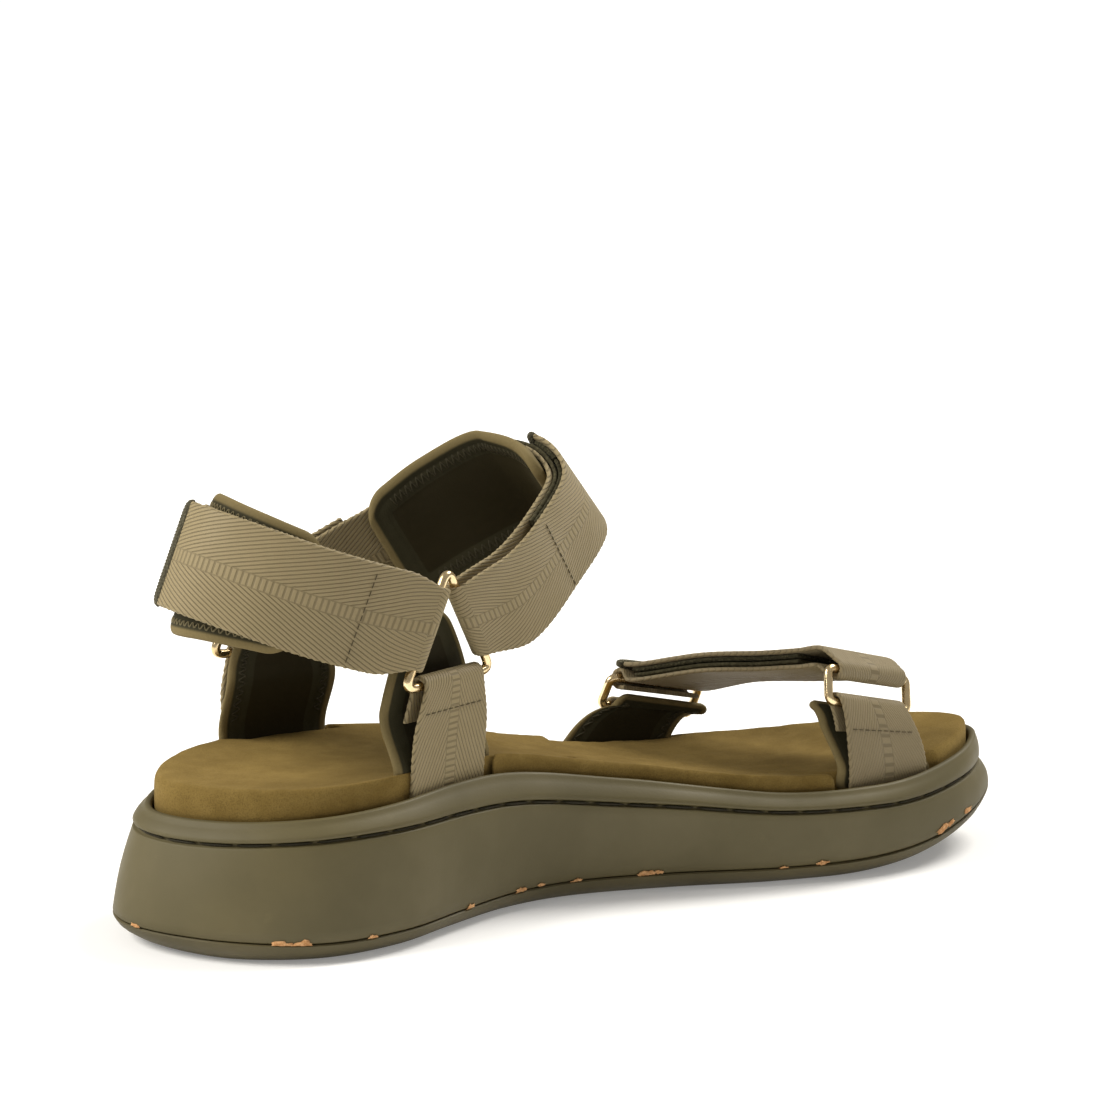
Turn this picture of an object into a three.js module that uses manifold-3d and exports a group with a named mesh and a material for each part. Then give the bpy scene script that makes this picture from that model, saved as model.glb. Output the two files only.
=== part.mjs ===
// A strappy sport sandal for the left foot, in millimetres.
// +Y points to the toe, +X to the inner (medial) side of the foot and +Z up.
// Heights are above the ground and y is counted from the back of the sole's rim.
import * as THREE from 'three';
import { mergeVertices } from 'three/addons/utils/BufferGeometryUtils.js';
import Module from 'manifold-3d';

// ---------------------------------------------------------------- driving dimensions
const GAP = 0.3;                    // clearance between touching pieces
const WEBBING = 1.4;                // thickness of the woven webbing
const PATCH = 1.15;                 // thickness of a hook patch or a loop patch
const PAD = 3.4;                    // thickness of the neoprene pads
const LINING = 2.4;                 // thickness of the neoprene quarter linings
const WIRE = 2.6;                   // wire diameter of the gold rings
const STRAP_WIDTH = 29;             // ankle straps
const TOE_STRAP_WIDTH = 28;
const PATCH_WIDTH = 25;
const PAD_WIDTH = 34.5;
const TRIANGLE_SIDE = 35;           // side of the triangular rings, between wire centrelines
const TRIANGLE_CORNER = 2.4;
const OBLONG_LENGTH = 30.6;         // toe rings, between wire centrelines
const OBLONG_HEIGHT = 9.6;
const OBLONG_CORNER = 2.2;

const RIM_LIP = 2.0;                // thickness of the sole's raised lip
const FOOTBED_INSET = 2.6;          // footbed wall, inside the rim
const BOARD = 1.6;
const SUEDE = 1.2;
const GROOVE_DEPTH = 1.6;
const GROOVE_HALF_HEIGHT = 0.95;
const THREAD_RADIUS = 0.5;
const CHAMFER_INSET = 7;            // sole edge at the ground, inside its widest line

const SOLE_CENTRE = [0, 128];
const OUTLINE_STEPS = 64;
const FACE_RINGS = [0.28, 0.6, 0.84];   // inner rings of a slab's face, as fractions of its outline

const OLIVE = 0x555139;
const WEBBING_COLOUR = 0x8d8266;
const NEOPRENE_COLOUR = 0x4d4630;
const HOOK_COLOUR = 0x3a3627;
const SUEDE_COLOUR = 0x6b5a2c;
const GOLD = 0xd8bd7c;

// ---------------------------------------------------------------- small helpers
const point = (x, y, z = 0) => new THREE.Vector3(x, y, z);
const mix = THREE.MathUtils.lerp;
const clamp = THREE.MathUtils.clamp;

// Smooth value along the foot, through [y, value] knots.
function profile(knots) {
  const last = knots.length - 1;
  const step = (i) => (knots[i + 1][1] - knots[i][1]) / (knots[i + 1][0] - knots[i][0]);
  const slope = (i) => {
    if (i === 0 || i === last) return step(Math.min(i, last - 1));
    return step(i - 1) * step(i) > 0 ? (step(i - 1) + step(i)) / 2 : 0;
  };
  return (y) => {
    if (y <= knots[0][0]) return knots[0][1];
    if (y >= knots[last][0]) return knots[last][1];
    const i = knots.findIndex((knot, n) => y < knots[n + 1][0]);
    const [y0, v0] = knots[i];
    const [y1, v1] = knots[i + 1];
    const span = y1 - y0;
    const t = (y - y0) / span;
    const rise = t * t * (3 - 2 * t);
    const leave = t * (1 - t) * (1 - t) * span * slope(i);
    const arrive = t * t * (1 - t) * span * slope(i + 1);
    return mix(v0, v1, rise) + leave - arrive;
  };
}

function signedVolume(positions, index) {
  const [a, b, c] = [point(0, 0), point(0, 0), point(0, 0)];
  let sum = 0;
  for (let i = 0; i < index.length; i += 3) {
    a.fromArray(positions, index[i] * 3);
    b.fromArray(positions, index[i + 1] * 3);
    c.fromArray(positions, index[i + 2] * 3);
    sum += a.dot(b.cross(c));
  }
  return sum / 6;
}

function bodyOf(positions, index) {
  if (signedVolume(positions, index) < 0) index.reverse();
  const geometry = new THREE.BufferGeometry();
  geometry.setAttribute('position', new THREE.Float32BufferAttribute(positions, 3));
  geometry.setIndex(index);
  return geometry;
}

// A closed body through rings of equal point counts. Open ends get a flat fan. The quads of a
// ring's second half are split the other way, so that a strap's two faces match.
function loft(rings, closed = false) {
  const count = rings[0].length;
  const points = rings.flat();
  const index = [];
  const spans = closed ? rings.length : rings.length - 1;
  for (let r = 0; r < spans; r++) {
    const next = ((r + 1) % rings.length) * count;
    for (let i = 0; i < count; i++) {
      const j = (i + 1) % count;
      const a = r * count + i;
      const b = r * count + j;
      if (i < count / 2) index.push(a, b, next + j, a, next + j, next + i);
      else index.push(a, b, next + i, b, next + j, next + i);
    }
  }
  if (!closed) {
    const fan = (start, flip) => {
      const middle = point(0, 0);
      for (let i = 0; i < count; i++) middle.add(points[start + i]);
      points.push(middle.divideScalar(count));
      const centre = points.length - 1;
      for (let i = 0; i < count; i++) {
        const j = (i + 1) % count;
        index.push(centre, start + (flip ? j : i), start + (flip ? i : j));
      }
    };
    fan(0, true);
    fan((rings.length - 1) * count, false);
  }
  return bodyOf(points.flatMap((p) => [p.x, p.y, p.z]), index);
}

// Manifold joins and cuts.
const wasm = await Module();
wasm.setup();

function solidOf(geometry) {
  const bare = geometry.clone();
  bare.deleteAttribute('normal');
  bare.deleteAttribute('uv');
  const merged = mergeVertices(bare, 1e-4);
  const mesh = new wasm.Mesh({
    numProp: 3,
    vertProperties: new Float32Array(merged.attributes.position.array),
    triVerts: new Uint32Array(merged.index.array),
  });
  return new wasm.Manifold(mesh);
}

function cut(geometry, cutters) {
  const result = cutters.reduce((left, cutter) => left.subtract(solidOf(cutter)), solidOf(geometry));
  const mesh = result.getMesh();
  const cutGeometry = new THREE.BufferGeometry();
  cutGeometry.setAttribute('position', new THREE.Float32BufferAttribute(mesh.vertProperties, 3));
  cutGeometry.setIndex([...mesh.triVerts]);
  return cutGeometry;
}

// ---------------------------------------------------------------- sole outline and heights
const rimCurve = new THREE.CatmullRomCurve3([
  point(0, 0), point(21.5, 9.5), point(36.3, 31), point(37.5, 55), point(31, 76), point(24.2, 98),
  point(23, 116), point(29.4, 146), point(37.9, 174), point(42, 203), point(38.6, 225),
  point(28.5, 245), point(14, 255.5), point(1, 251), point(-10, 241), point(-23.6, 221),
  point(-32.5, 199), point(-36.6, 172), point(-35.8, 144), point(-35, 115), point(-37.4, 85),
  point(-39.8, 57), point(-34.2, 30), point(-20.5, 10),
], true, 'centripetal');
const rimPoints = rimCurve.getSpacedPoints(OUTLINE_STEPS).slice(0, OUTLINE_STEPS);
const rimNormals = rimPoints.map((p, i) => {
  const before = rimPoints[(i + OUTLINE_STEPS - 1) % OUTLINE_STEPS];
  const after = rimPoints[(i + 1) % OUTLINE_STEPS];
  const along = after.clone().sub(before).normalize();
  return point(along.y, -along.x);
});

const medialRim = profile([[0, 35.9], [45, 38.5], [85, 41], [130, 34.8], [175, 27.3], [205, 26.7], [256, 32.5]]);
const lateralRim = profile([[0, 35.9], [40, 37], [90, 36.8], [130, 30.2], [155, 26], [180, 24.2], [215, 25], [256, 32.5]]);
const grooveDrop = profile([[0, 5.4], [40, 5.6], [90, 8], [130, 7], [180, 5], [256, 7.7]]);
const partingHeight = profile([[0, 6.8], [40, 5.7], [130, 6], [180, 5.6], [225, 8.6], [256, 16.6]]);
const groundHeight = profile([[-6, 1.2], [14, 0], [190, 0], [225, 2.8], [256, 10.4]]);
const grooveOffset = profile([[0, 3.4], [128, 4], [200, 3], [256, 1.4]]);
const partingOffset = profile([[0, 9.2], [40, 6], [90, 1.4], [180, 0.4], [230, 2.6], [256, 4.5]]);
const cupDepth = profile([[0, 12], [128, 10], [256, 8.5]]);
const suedeRise = profile([[0, 8.2], [60, 6.6], [110, 4.6], [180, 4], [256, 4]]);
const dishDepth = profile([[0, 4], [40, 5], [100, 3], [180, 1.6], [256, 1.2]]);

const sideShare = (x) => clamp(x / 68 + 0.5, 0, 1);
const rimHeight = (x, y) => mix(lateralRim(y), medialRim(y), sideShare(x));
const grooveHeight = (x, y) => rimHeight(x, y) - grooveDrop(y);
const cupFloor = (x, y) => rimHeight(x, y) - cupDepth(y);
const boardTop = (x, y) => cupFloor(x, y) + GAP + BOARD;
const footbedTop = (x, y, share) => rimHeight(x, y) + suedeRise(y) - dishDepth(y) * (1 - share * share);

// The rim pushed outward, at a height given by (x, y).
function outline(offset, height) {
  return rimPoints.map((p, i) => {
    const outward = typeof offset === 'function' ? offset(p.y) : offset;
    const moved = p.clone().addScaledVector(rimNormals[i], outward);
    moved.z = height(moved.x, moved.y);
    return moved;
  });
}

// Inner rings of a face, from near the centre out to the given outline.
function faceRings(edge, height) {
  return FACE_RINGS.map((share) => edge.map((p) => {
    const x = mix(SOLE_CENTRE[0], p.x, share);
    const y = mix(SOLE_CENTRE[1], p.y, share);
    return point(x, y, height(x, y, share));
  }));
}

const raised = (height, lift) => (x, y, share) => height(x, y, share) + lift;
const overY = (height) => (x, y) => height(y);

// ---------------------------------------------------------------- sole pieces
function outsole() {
  const ground = overY(groundHeight);
  const top = raised(overY(partingHeight), -GAP / 2);
  const groundEdge = outline((y) => partingOffset(y) - CHAMFER_INSET, ground);
  const widest = outline(partingOffset, top);
  return loft([
    ...faceRings(widest, top),
    widest,
    outline((y) => partingOffset(y) - 2.2, (x, y) => mix(groundHeight(y), partingHeight(y), 0.42)),
    groundEdge,
    ...faceRings(groundEdge, ground).reverse(),
  ]);
}

function midsole() {
  const bottom = raised(overY(partingHeight), GAP / 2);
  const widest = outline(partingOffset, bottom);
  const cupEdge = outline(-RIM_LIP, cupFloor);
  const groove = (depth, lift) => outline((y) => grooveOffset(y) - depth, raised(grooveHeight, lift));
  return loft([
    ...faceRings(widest, bottom),
    widest,
    groove(0, -GROOVE_HALF_HEIGHT),
    groove(GROOVE_DEPTH, -GROOVE_HALF_HEIGHT),
    groove(GROOVE_DEPTH, GROOVE_HALF_HEIGHT),
    groove(0.2, GROOVE_HALF_HEIGHT),
    outline((y) => grooveOffset(y) * 0.45, raised(rimHeight, -1.3)),
    outline(-0.5, rimHeight),
    outline(-RIM_LIP, raised(rimHeight, -0.5)),
    cupEdge,
    ...faceRings(cupEdge, cupFloor).reverse(),
  ]);
}

function sidewallThread() {
  const sides = 6;
  const turn = (i) => (2 * Math.PI * i) / sides;
  const seat = GROOVE_DEPTH - GAP - THREAD_RADIUS - 0.05;
  const rings = Array.from({ length: sides }, (_, i) => outline(
    (y) => grooveOffset(y) - seat + THREAD_RADIUS * Math.cos(turn(i)),
    raised(grooveHeight, THREAD_RADIUS * Math.sin(turn(i))),
  ));
  return loft(rings, true);
}

function insoleBoard() {
  const under = raised(cupFloor, GAP);
  const edgeUnder = outline(-FOOTBED_INSET, under);
  const edgeTop = outline(-FOOTBED_INSET, boardTop);
  return loft([
    ...faceRings(edgeTop, boardTop), edgeTop, edgeUnder, ...faceRings(edgeUnder, under).reverse(),
  ]);
}

function footbedCore() {
  const inset = -FOOTBED_INSET - SUEDE - GAP;
  const under = raised(boardTop, GAP);
  const top = raised(footbedTop, -SUEDE - GAP);
  const edgeUnder = outline(inset, under);
  const shoulder = outline(inset - 1, (x, y) => top(x, y, 1));
  return loft([
    ...faceRings(edgeUnder, under),
    edgeUnder,
    outline(inset, (x, y) => top(x, y, 1) - 1),
    shoulder,
    ...faceRings(shoulder, top).reverse(),
  ]);
}

function footbedCover() {
  const inner = -FOOTBED_INSET - SUEDE;
  const hem = raised(boardTop, GAP);
  const innerTop = raised(footbedTop, -SUEDE);
  const innerShoulder = outline(inner - 1, (x, y) => innerTop(x, y, 1));
  const shoulder = outline(-FOOTBED_INSET - 1.1, (x, y) => footbedTop(x, y, 1));
  return loft([
    ...faceRings(shoulder, footbedTop),
    shoulder,
    outline(-FOOTBED_INSET, (x, y) => footbedTop(x, y, 1) - 1.2),
    outline(-FOOTBED_INSET, hem),
    outline(inner, hem),
    outline(inner, (x, y) => innerTop(x, y, 1) - 1),
    innerShoulder,
    ...faceRings(innerShoulder, innerTop).reverse(),
  ]);
}

// ---------------------------------------------------------------- straps
// Depths of the layers under the outer face, from the free end's webbing to the pad.
const HOOK_TOP = WEBBING + GAP;
const LOOP_TOP = HOOK_TOP + PATCH + GAP;
const BASE_TOP = LOOP_TOP + PATCH + GAP;
const BASE_BOTTOM = BASE_TOP + WEBBING;
const PAD_TOP = BASE_BOTTOM + 2.4 * GAP;
const PAD_BOTTOM = PAD_TOP + PAD;
const BAR_DEPTH = (WEBBING + BASE_TOP) / 2;
const RAISED_TOP = WEBBING + GAP;    // fixed webbing where no hooks lie over it
const UNDER_BAR_DEPTH = RAISED_TOP + WEBBING + 2 * GAP + WIRE / 2;

// A track is the centre line of a strap's outer face, through stations of a place and the
// direction across the strap. It is sampled by a station number, whole or broken.
// Where a station names a bar, the face is moved until it passes that bar at its depth.
function track(stations, heart) {
  const places = stations.map(({ at, bar }) => (bar ? bar.middle.clone() : point(...at)));
  const leans = stations.map(({ across, bar }) => (bar ? bar.direction.clone() : point(...across)));
  const middles = new THREE.CatmullRomCurve3(places, false, 'centripetal');
  const turns = new THREE.CatmullRomCurve3(leans, false, 'catmullrom', 0.5);
  const inside = point(...heart);
  const sample = (station) => {
    const t = station / (stations.length - 1);
    const middle = middles.getPoint(t);
    const along = middles.getTangent(t);
    const across = turns.getPoint(t).normalize();
    const out = new THREE.Vector3().crossVectors(along, across).normalize();
    if (out.dot(middle.clone().sub(inside)) < 0) out.negate();
    return { middle, along, across, out };
  };
  for (let pass = 0; pass < 20; pass++) {
    stations.forEach(({ bar, depth = BAR_DEPTH }, i) => {
      if (bar) places[i].lerp(bar.middle.clone().addScaledVector(sample(i).out, depth), 0.5);
    });
  }
  return sample;
}

const valueAt = (value, station) => (typeof value === 'function' ? value(station) : value);

// Four corners of a layer's section, between two depths under the outer face.
function section({ middle, across, out }, width, top, bottom, shift = 0) {
  const corner = (side, depth) => middle.clone()
    .addScaledVector(across, shift + side * width / 2)
    .addScaledVector(out, -depth);
  return [corner(-1, top), corner(1, top), corner(1, bottom), corner(-1, bottom)];
}

// Sections with eased edges, for padded layers.
function easedSection(frame, width, top, bottom, shift = 0) {
  const ease = (bottom - top) * 0.3;
  const [a, b, c, d] = section(frame, width, top + ease, bottom - ease, shift);
  const [e, f, g, h] = section(frame, width - 2.6 * ease, top, bottom, shift);
  return [a, e, f, b, c, g, h, d];
}

// Stations between two ends, on one grid for every layer so that the layers nest.
function stationsBetween(from, to, grid = 6) {
  const inner = [];
  for (let n = Math.floor(from * grid) + 1; n / grid < to - 0.02; n++) {
    if (n / grid > from + 0.02) inner.push(n / grid);
  }
  return [from, ...inner, to];
}

// One layer of a strap, from one station to another.
function layer(line, { from, to, width, top, bottom, shift = 0, eased = false }) {
  const shape = eased ? easedSection : section;
  return loft(stationsBetween(from, to).map((station) => {
    const at = (value) => valueAt(value, station);
    return shape(line(station), at(width), at(top), at(bottom), at(shift));
  }));
}

// Webbing that runs to a ring's bar, turns round it and is sewn back on itself.
// far and near are its two faces on the way there, away from the bar and next to it.
function anchoredLayer(line, { from, to, width, far, near, tail, barDepth = BAR_DEPTH }) {
  const sheet = (station, away, close) => section(line(station), valueAt(width, station), away, close);
  const rings = stationsBetween(from, to)
    .map((station) => sheet(station, valueAt(far, station), valueAt(near, station)));
  const end = line(to);
  const [away, close] = [valueAt(far, to), valueAt(near, to)];
  const side = Math.sign(barDepth - away);
  const bar = end.middle.clone().addScaledVector(end.out, -barDepth);
  const half = valueAt(width, to) / 2;
  const bends = 6;
  for (let turn = 1; turn < bends; turn++) {
    const angle = (Math.PI * turn) / bends;
    const spot = (lateral, radius) => bar.clone()
      .addScaledVector(end.across, lateral * half)
      .addScaledVector(end.out, side * radius * Math.cos(angle))
      .addScaledVector(end.along, radius * Math.sin(angle));
    const outer = Math.abs(barDepth - away);
    const inner = Math.abs(barDepth - close);
    rings.push([spot(-1, outer), spot(1, outer), spot(1, inner), spot(-1, inner)]);
  }
  for (const station of stationsBetween(to - tail, to).reverse()) {
    rings.push(sheet(station, 2 * barDepth - away, 2 * barDepth - close));
  }
  return loft(rings);
}

// ---------------------------------------------------------------- rings
function wireRing(corners, cornerRadius) {
  const count = corners.length;
  const neighbour = (i, step) => corners[(i + step + count) % count];
  const bends = corners.map((corner, i) => {
    const back = neighbour(i, -1).clone().sub(corner);
    const ahead = neighbour(i, 1).clone().sub(corner);
    const reach = cornerRadius / Math.tan(back.angleTo(ahead) / 2);
    return new THREE.QuadraticBezierCurve3(
      corner.clone().addScaledVector(back.normalize(), reach),
      corner,
      corner.clone().addScaledVector(ahead.normalize(), reach),
    ).getPoints(4);
  }).flat();
  const normal = new THREE.Vector3().crossVectors(
    corners[1].clone().sub(corners[0]), corners[2].clone().sub(corners[0]),
  ).normalize();
  const sides = 8;
  const rings = bends.map((place, i) => {
    const next = bends[(i + 1) % bends.length];
    const last = bends[(i + bends.length - 1) % bends.length];
    const outward = next.clone().sub(last).normalize().cross(normal);
    return Array.from({ length: sides }, (_, s) => {
      const turn = (2 * Math.PI * (s + 0.5)) / sides;
      return place.clone()
        .addScaledVector(normal, Math.cos(turn) * WIRE / 2)
        .addScaledVector(outward, Math.sin(turn) * WIRE / 2);
    });
  });
  return loft(rings, true);
}

// A ring's corners, from the middle of its bottom bar, the direction along that bar, and up.
function ringCorners(base, along, up, spots) {
  const across = point(...along).normalize();
  const rise = point(...up);
  rise.addScaledVector(across, -rise.dot(across)).normalize();
  return spots.map(([sideways, height]) => point(...base)
    .addScaledVector(across, sideways)
    .addScaledVector(rise, height));
}

const triangleHalf = TRIANGLE_SIDE / 2;
const TRIANGLE = [[-triangleHalf, 0], [triangleHalf, 0], [0, triangleHalf * Math.sqrt(3)]];
const oblongHalf = OBLONG_LENGTH / 2;
const OBLONG = [[-oblongHalf, 0], [oblongHalf, 0], [oblongHalf, OBLONG_HEIGHT], [-oblongHalf, OBLONG_HEIGHT]];

const medialAnkleRing = ringCorners([26.8, 75.7, 68.5], [-0.38, 0.925, 0], [0, 0, 1], TRIANGLE);
const lateralAnkleRing = ringCorners([-37.5, 52, 67], [0, 1, 0], [0, 0, 1], TRIANGLE);
const medialToeRing = ringCorners([32.8, 206.5, 47.6], [-0.14, 0.96, -0.24], [-0.36, 0.18, 0.92], OBLONG);
const lateralToeRing = ringCorners([-37.2, 173.5, 35.8], [0.02, 0.98, -0.2], [0.36, 0.1, 0.93], OBLONG);

// The straight bar between two corners of a ring.
const barBetween = (corners, from, to) => ({
  middle: corners[from].clone().lerp(corners[to], 0.5),
  direction: corners[to].clone().sub(corners[from]).normalize(),
});

// ---------------------------------------------------------------- strap tracks
const heelTrack = track([
  { bar: barBetween(medialAnkleRing, 0, 2) },
  { at: [31, 55, 87.4], across: [-0.06, 0.42, 0.9] },
  { at: [27.5, 38, 93], across: [0, 0.366, 0.931] },
  { at: [19, 22.5, 99.1], across: [0, 0.366, 0.931] },
  { at: [6, 12.5, 103], across: [0, 0.366, 0.931] },
  { at: [-7, 10.8, 103.6], across: [0, 0.366, 0.931] },
  { at: [-18.5, 16.2, 101.4], across: [0, 0.366, 0.931] },
  { at: [-30, 25, 96], across: [0.02, 0.4, 0.91] },
  { at: [-38, 34, 88.5], across: [0.02, 0.46, 0.88] },
  { bar: barBetween(lateralAnkleRing, 0, 2) },
], [-2, 42, 85]);

const instepTrack = track([
  { bar: barBetween(medialAnkleRing, 1, 2) },
  { at: [21.2, 101, 87], across: [0.24, -0.49, 0.84] },
  { at: [13.5, 117.5, 97.5], across: [0.32, -0.55, 0.78] },
  { at: [3.8, 131, 109.2], across: [0.28, -0.62, 0.72] },
  { at: [-9.2, 131.8, 115], across: [0.14, -0.62, 0.77] },
  { at: [-23, 124.6, 114.6], across: [-0.03, -0.6, 0.8] },
  { at: [-31, 106, 104], across: [-0.15, -0.52, 0.84] },
  { at: [-37, 87, 92], across: [-0.08, -0.5, 0.86] },
  { bar: barBetween(lateralAnkleRing, 1, 2) },
], [-8, 85, 85]);

const toeTrack = track([
  { bar: barBetween(medialToeRing, 3, 2) },
  { at: [23.8, 207.7, 61.7], across: [-0.17, 0.95, -0.26] },
  { at: [16.5, 203.8, 60], across: [-0.2, 0.94, -0.27] },
  { at: [5, 198, 57.8], across: [-0.28, 0.92, -0.27] },
  { at: [-12.6, 187.8, 55], across: [-0.33, 0.905, -0.27] },
  { at: [-29.9, 178, 49.8], across: [-0.1, 0.96, -0.23] },
  { bar: barBetween(lateralToeRing, 3, 2), depth: UNDER_BAR_DEPTH },
], [0, 185, 10]);

const medialAnkleTrack = track([
  { at: [28.4, 74.5, 31], across: [-0.36, 0.933, 0] },
  { at: [28.8, 75.5, 50], across: [-0.36, 0.933, 0] },
  { bar: barBetween(medialAnkleRing, 0, 1) },
  { at: [29.7, 76.8, 90], across: [-0.38, 0.925, 0] },
], [0, 70, 60]);

const lateralAnkleTrack = track([
  { at: [-34.8, 50, 31], across: [-0.11, 0.994, 0] },
  { at: [-37.2, 51, 50], across: [-0.05, 1, 0] },
  { bar: barBetween(lateralAnkleRing, 0, 1) },
  { at: [-41, 52, 88], across: [0, 1, 0] },
], [0, 50, 60]);

const medialToeTrack = track([
  { at: [37.2, 211, 21], across: [-0.1, 0.99, 0] },
  { at: [37.9, 210.5, 33], across: [-0.1, 0.99, -0.1] },
  { bar: barBetween(medialToeRing, 0, 1) },
  { at: [24, 203, 62], across: [-0.17, 0.95, -0.26] },
], [0, 205, 15]);

const lateralToeTrack = track([
  { at: [-32.7, 158, 19.4], across: [0, 1, 0] },
  { at: [-34.4, 163, 27], across: [0, 1, -0.05] },
  { bar: barBetween(lateralToeRing, 0, 1) },
  { at: [-38.5, 175, 52], across: [0.1, 0.97, -0.22] },
], [0, 170, 5]);

// ---------------------------------------------------------------- quarters
const LOOP_TAIL = 0.55;             // stations of webbing sewn back below a ring
const LOOP_START = 0.12;

const quarterLoop = (line, width) => anchoredLayer(line, {
  from: LOOP_START, to: 2, width, far: 0, near: WEBBING, tail: LOOP_TAIL,
});

// The lining starts against the webbing and passes behind the ring and its loops.
const liningDepth = (behind) => (station) => mix(
  WEBBING + GAP, behind, THREE.MathUtils.smoothstep(station, 0.7, 1.6),
);

function quarterLining(line, { width, shift = 0, to, behind }) {
  const depth = liningDepth(behind);
  return layer(line, {
    from: LOOP_START + 0.06, to, width, shift, top: depth, bottom: (station) => depth(station) + LINING,
  });
}

// Room in the footbed for a quarter's layers.
function quarterSlot(line, { width, shift = 0, behind }) {
  const depth = liningDepth(behind);
  return layer(line, {
    from: 0, to: 1.5, width: width(0) + 1.2, shift, top: -3.4,
    bottom: (station) => depth(station) + LINING + 0.6,
  });
}

const medialAnkleLining = {
  width: profile([[0, 38], [1.9, 33], [2.45, 24], [2.85, 8]]), to: 2.85, behind: 9.6,
};
const lateralAnkleLining = {
  width: profile([[0, 33], [1.9, 31], [2.45, 22], [2.85, 8]]), to: 2.85, behind: 9.6,
};
const medialToeLining = {
  width: profile([[0, 37], [1.2, 31], [2, 29], [2.35, 31]]), to: 2.35, behind: 9.2,
};
const lateralToeLining = {
  width: profile([[0, 37], [1.2, 33], [2, 30], [2.4, 32]]), to: 2.4, behind: 6.6,
  shift: profile([[0, -3], [1, -2], [1.7, 0], [2.4, 4]]),
};

const slots = [
  quarterSlot(medialAnkleTrack, medialAnkleLining),
  quarterSlot(lateralAnkleTrack, lateralAnkleLining),
  quarterSlot(medialToeTrack, medialToeLining),
  quarterSlot(lateralToeTrack, lateralToeLining),
];

// ---------------------------------------------------------------- the sandal
const sandal = new THREE.Group();
sandal.name = 'sport_sandal';

function piece(name, geometry, color, roughness, metalness = 0) {
  geometry.computeVertexNormals();
  const mesh = new THREE.Mesh(geometry, new THREE.MeshStandardMaterial({ color, roughness, metalness }));
  mesh.name = name;
  sandal.add(mesh);
}

const webbing = (name, geometry) => piece(name, geometry, WEBBING_COLOUR, 0.8);
const neoprene = (name, geometry) => piece(name, geometry, NEOPRENE_COLOUR, 0.85);
const hookAndLoop = (name, geometry) => piece(name, geometry, HOOK_COLOUR, 0.95);

piece('outsole', outsole(), OLIVE, 0.7);
piece('midsole', midsole(), OLIVE, 0.65);
piece('sidewall_thread', sidewallThread(), HOOK_COLOUR, 0.8);
piece('insole_board', insoleBoard(), 0xa08c66, 0.9);
piece('footbed_core', cut(footbedCore(), slots), 0x77745e, 0.95);
piece('footbed_cover', cut(footbedCover(), slots), SUEDE_COLOUR, 0.95);

piece('medial_ankle_ring', wireRing(medialAnkleRing, TRIANGLE_CORNER), GOLD, 0.25, 1);
piece('lateral_ankle_ring', wireRing(lateralAnkleRing, TRIANGLE_CORNER), GOLD, 0.25, 1);
piece('medial_toe_ring', wireRing(medialToeRing, OBLONG_CORNER), GOLD, 0.25, 1);
piece('lateral_toe_ring', wireRing(lateralToeRing, OBLONG_CORNER), GOLD, 0.25, 1);

const barWidth = 23.6;
const toeBarWidth = 25.6;
const ankleLoopWidth = profile([[0, STRAP_WIDTH], [1.2, STRAP_WIDTH], [2, barWidth]]);
const toeLoopWidth = profile([[0, TOE_STRAP_WIDTH], [1, TOE_STRAP_WIDTH], [2, toeBarWidth]]);
webbing('medial_ankle_loop', quarterLoop(medialAnkleTrack, ankleLoopWidth));
webbing('lateral_ankle_loop', quarterLoop(lateralAnkleTrack, ankleLoopWidth));
webbing('medial_toe_loop', quarterLoop(medialToeTrack, toeLoopWidth));
webbing('lateral_toe_loop', quarterLoop(lateralToeTrack, toeLoopWidth));

neoprene('medial_ankle_lining', quarterLining(medialAnkleTrack, medialAnkleLining));
neoprene('lateral_ankle_lining', quarterLining(lateralAnkleTrack, lateralAnkleLining));
neoprene('medial_toe_lining', quarterLining(medialToeTrack, medialToeLining));
neoprene('lateral_toe_lining', quarterLining(lateralToeTrack, lateralToeLining));

function strap(name, line, spec) {
  const { last, split, tip, pad, patch, hooksEnd, width, fold, anchor, hump = () => 0 } = spec;
  const ends = profile([[0, fold], [0.9, width], [last - 0.9, width], [last, fold]]);
  webbing(`${name}_strap_webbing`, anchoredLayer(line, {
    from: 0, to: last, width: ends, ...anchor(hump),
  }));
  if (pad) {
    neoprene(`${name}_strap_pad`, layer(line, {
      from: pad[0], to: pad[1], width: PAD_WIDTH, top: PAD_TOP, bottom: PAD_BOTTOM, eased: true,
    }));
  }
  hookAndLoop(`${name}_loop_patch`, layer(line, {
    from: patch[0], to: patch[1], width: PATCH_WIDTH, top: LOOP_TOP, bottom: LOOP_TOP + PATCH,
  }));
  const halves = split === undefined
    ? [['free_end', 0, tip]]
    : [['free_end', 0, split - 0.03], ['free_tip', split + 0.03, tip]];
  for (const [half, from, to] of halves) {
    webbing(`${name}_${half}`, layer(line, { from, to, width: ends, top: 0, bottom: WEBBING }));
    hookAndLoop(`${name}_${half}_hooks`, layer(line, {
      from: Math.max(from, patch[0]), to: Math.min(to, hooksEnd),
      width: PATCH_WIDTH, top: HOOK_TOP, bottom: HOOK_TOP + PATCH,
    }));
  }
  neoprene(`${name}_tip_binding`, layer(line, {
    from: tip + 0.03, to: tip + 0.24, width: width + 1, top: -0.9, bottom: WEBBING + 0.1, eased: true,
  }));
}

// A strap's fixed webbing is sewn round its outer ring with the tail outside or inside.
const tailOutside = (hump) => ({
  far: (station) => BASE_BOTTOM + hump(station),
  near: (station) => BASE_TOP + hump(station),
  tail: 0.8,
});
const raise = (station) => (BASE_TOP - RAISED_TOP) * THREE.MathUtils.smoothstep(station, 5.2, 5.8);
const tailInside = (hump) => ({
  far: (station) => BASE_TOP + hump(station) - raise(station),
  near: (station) => BASE_BOTTOM + hump(station) - raise(station),
  tail: 0.6,
  barDepth: UNDER_BAR_DEPTH,
});

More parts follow.
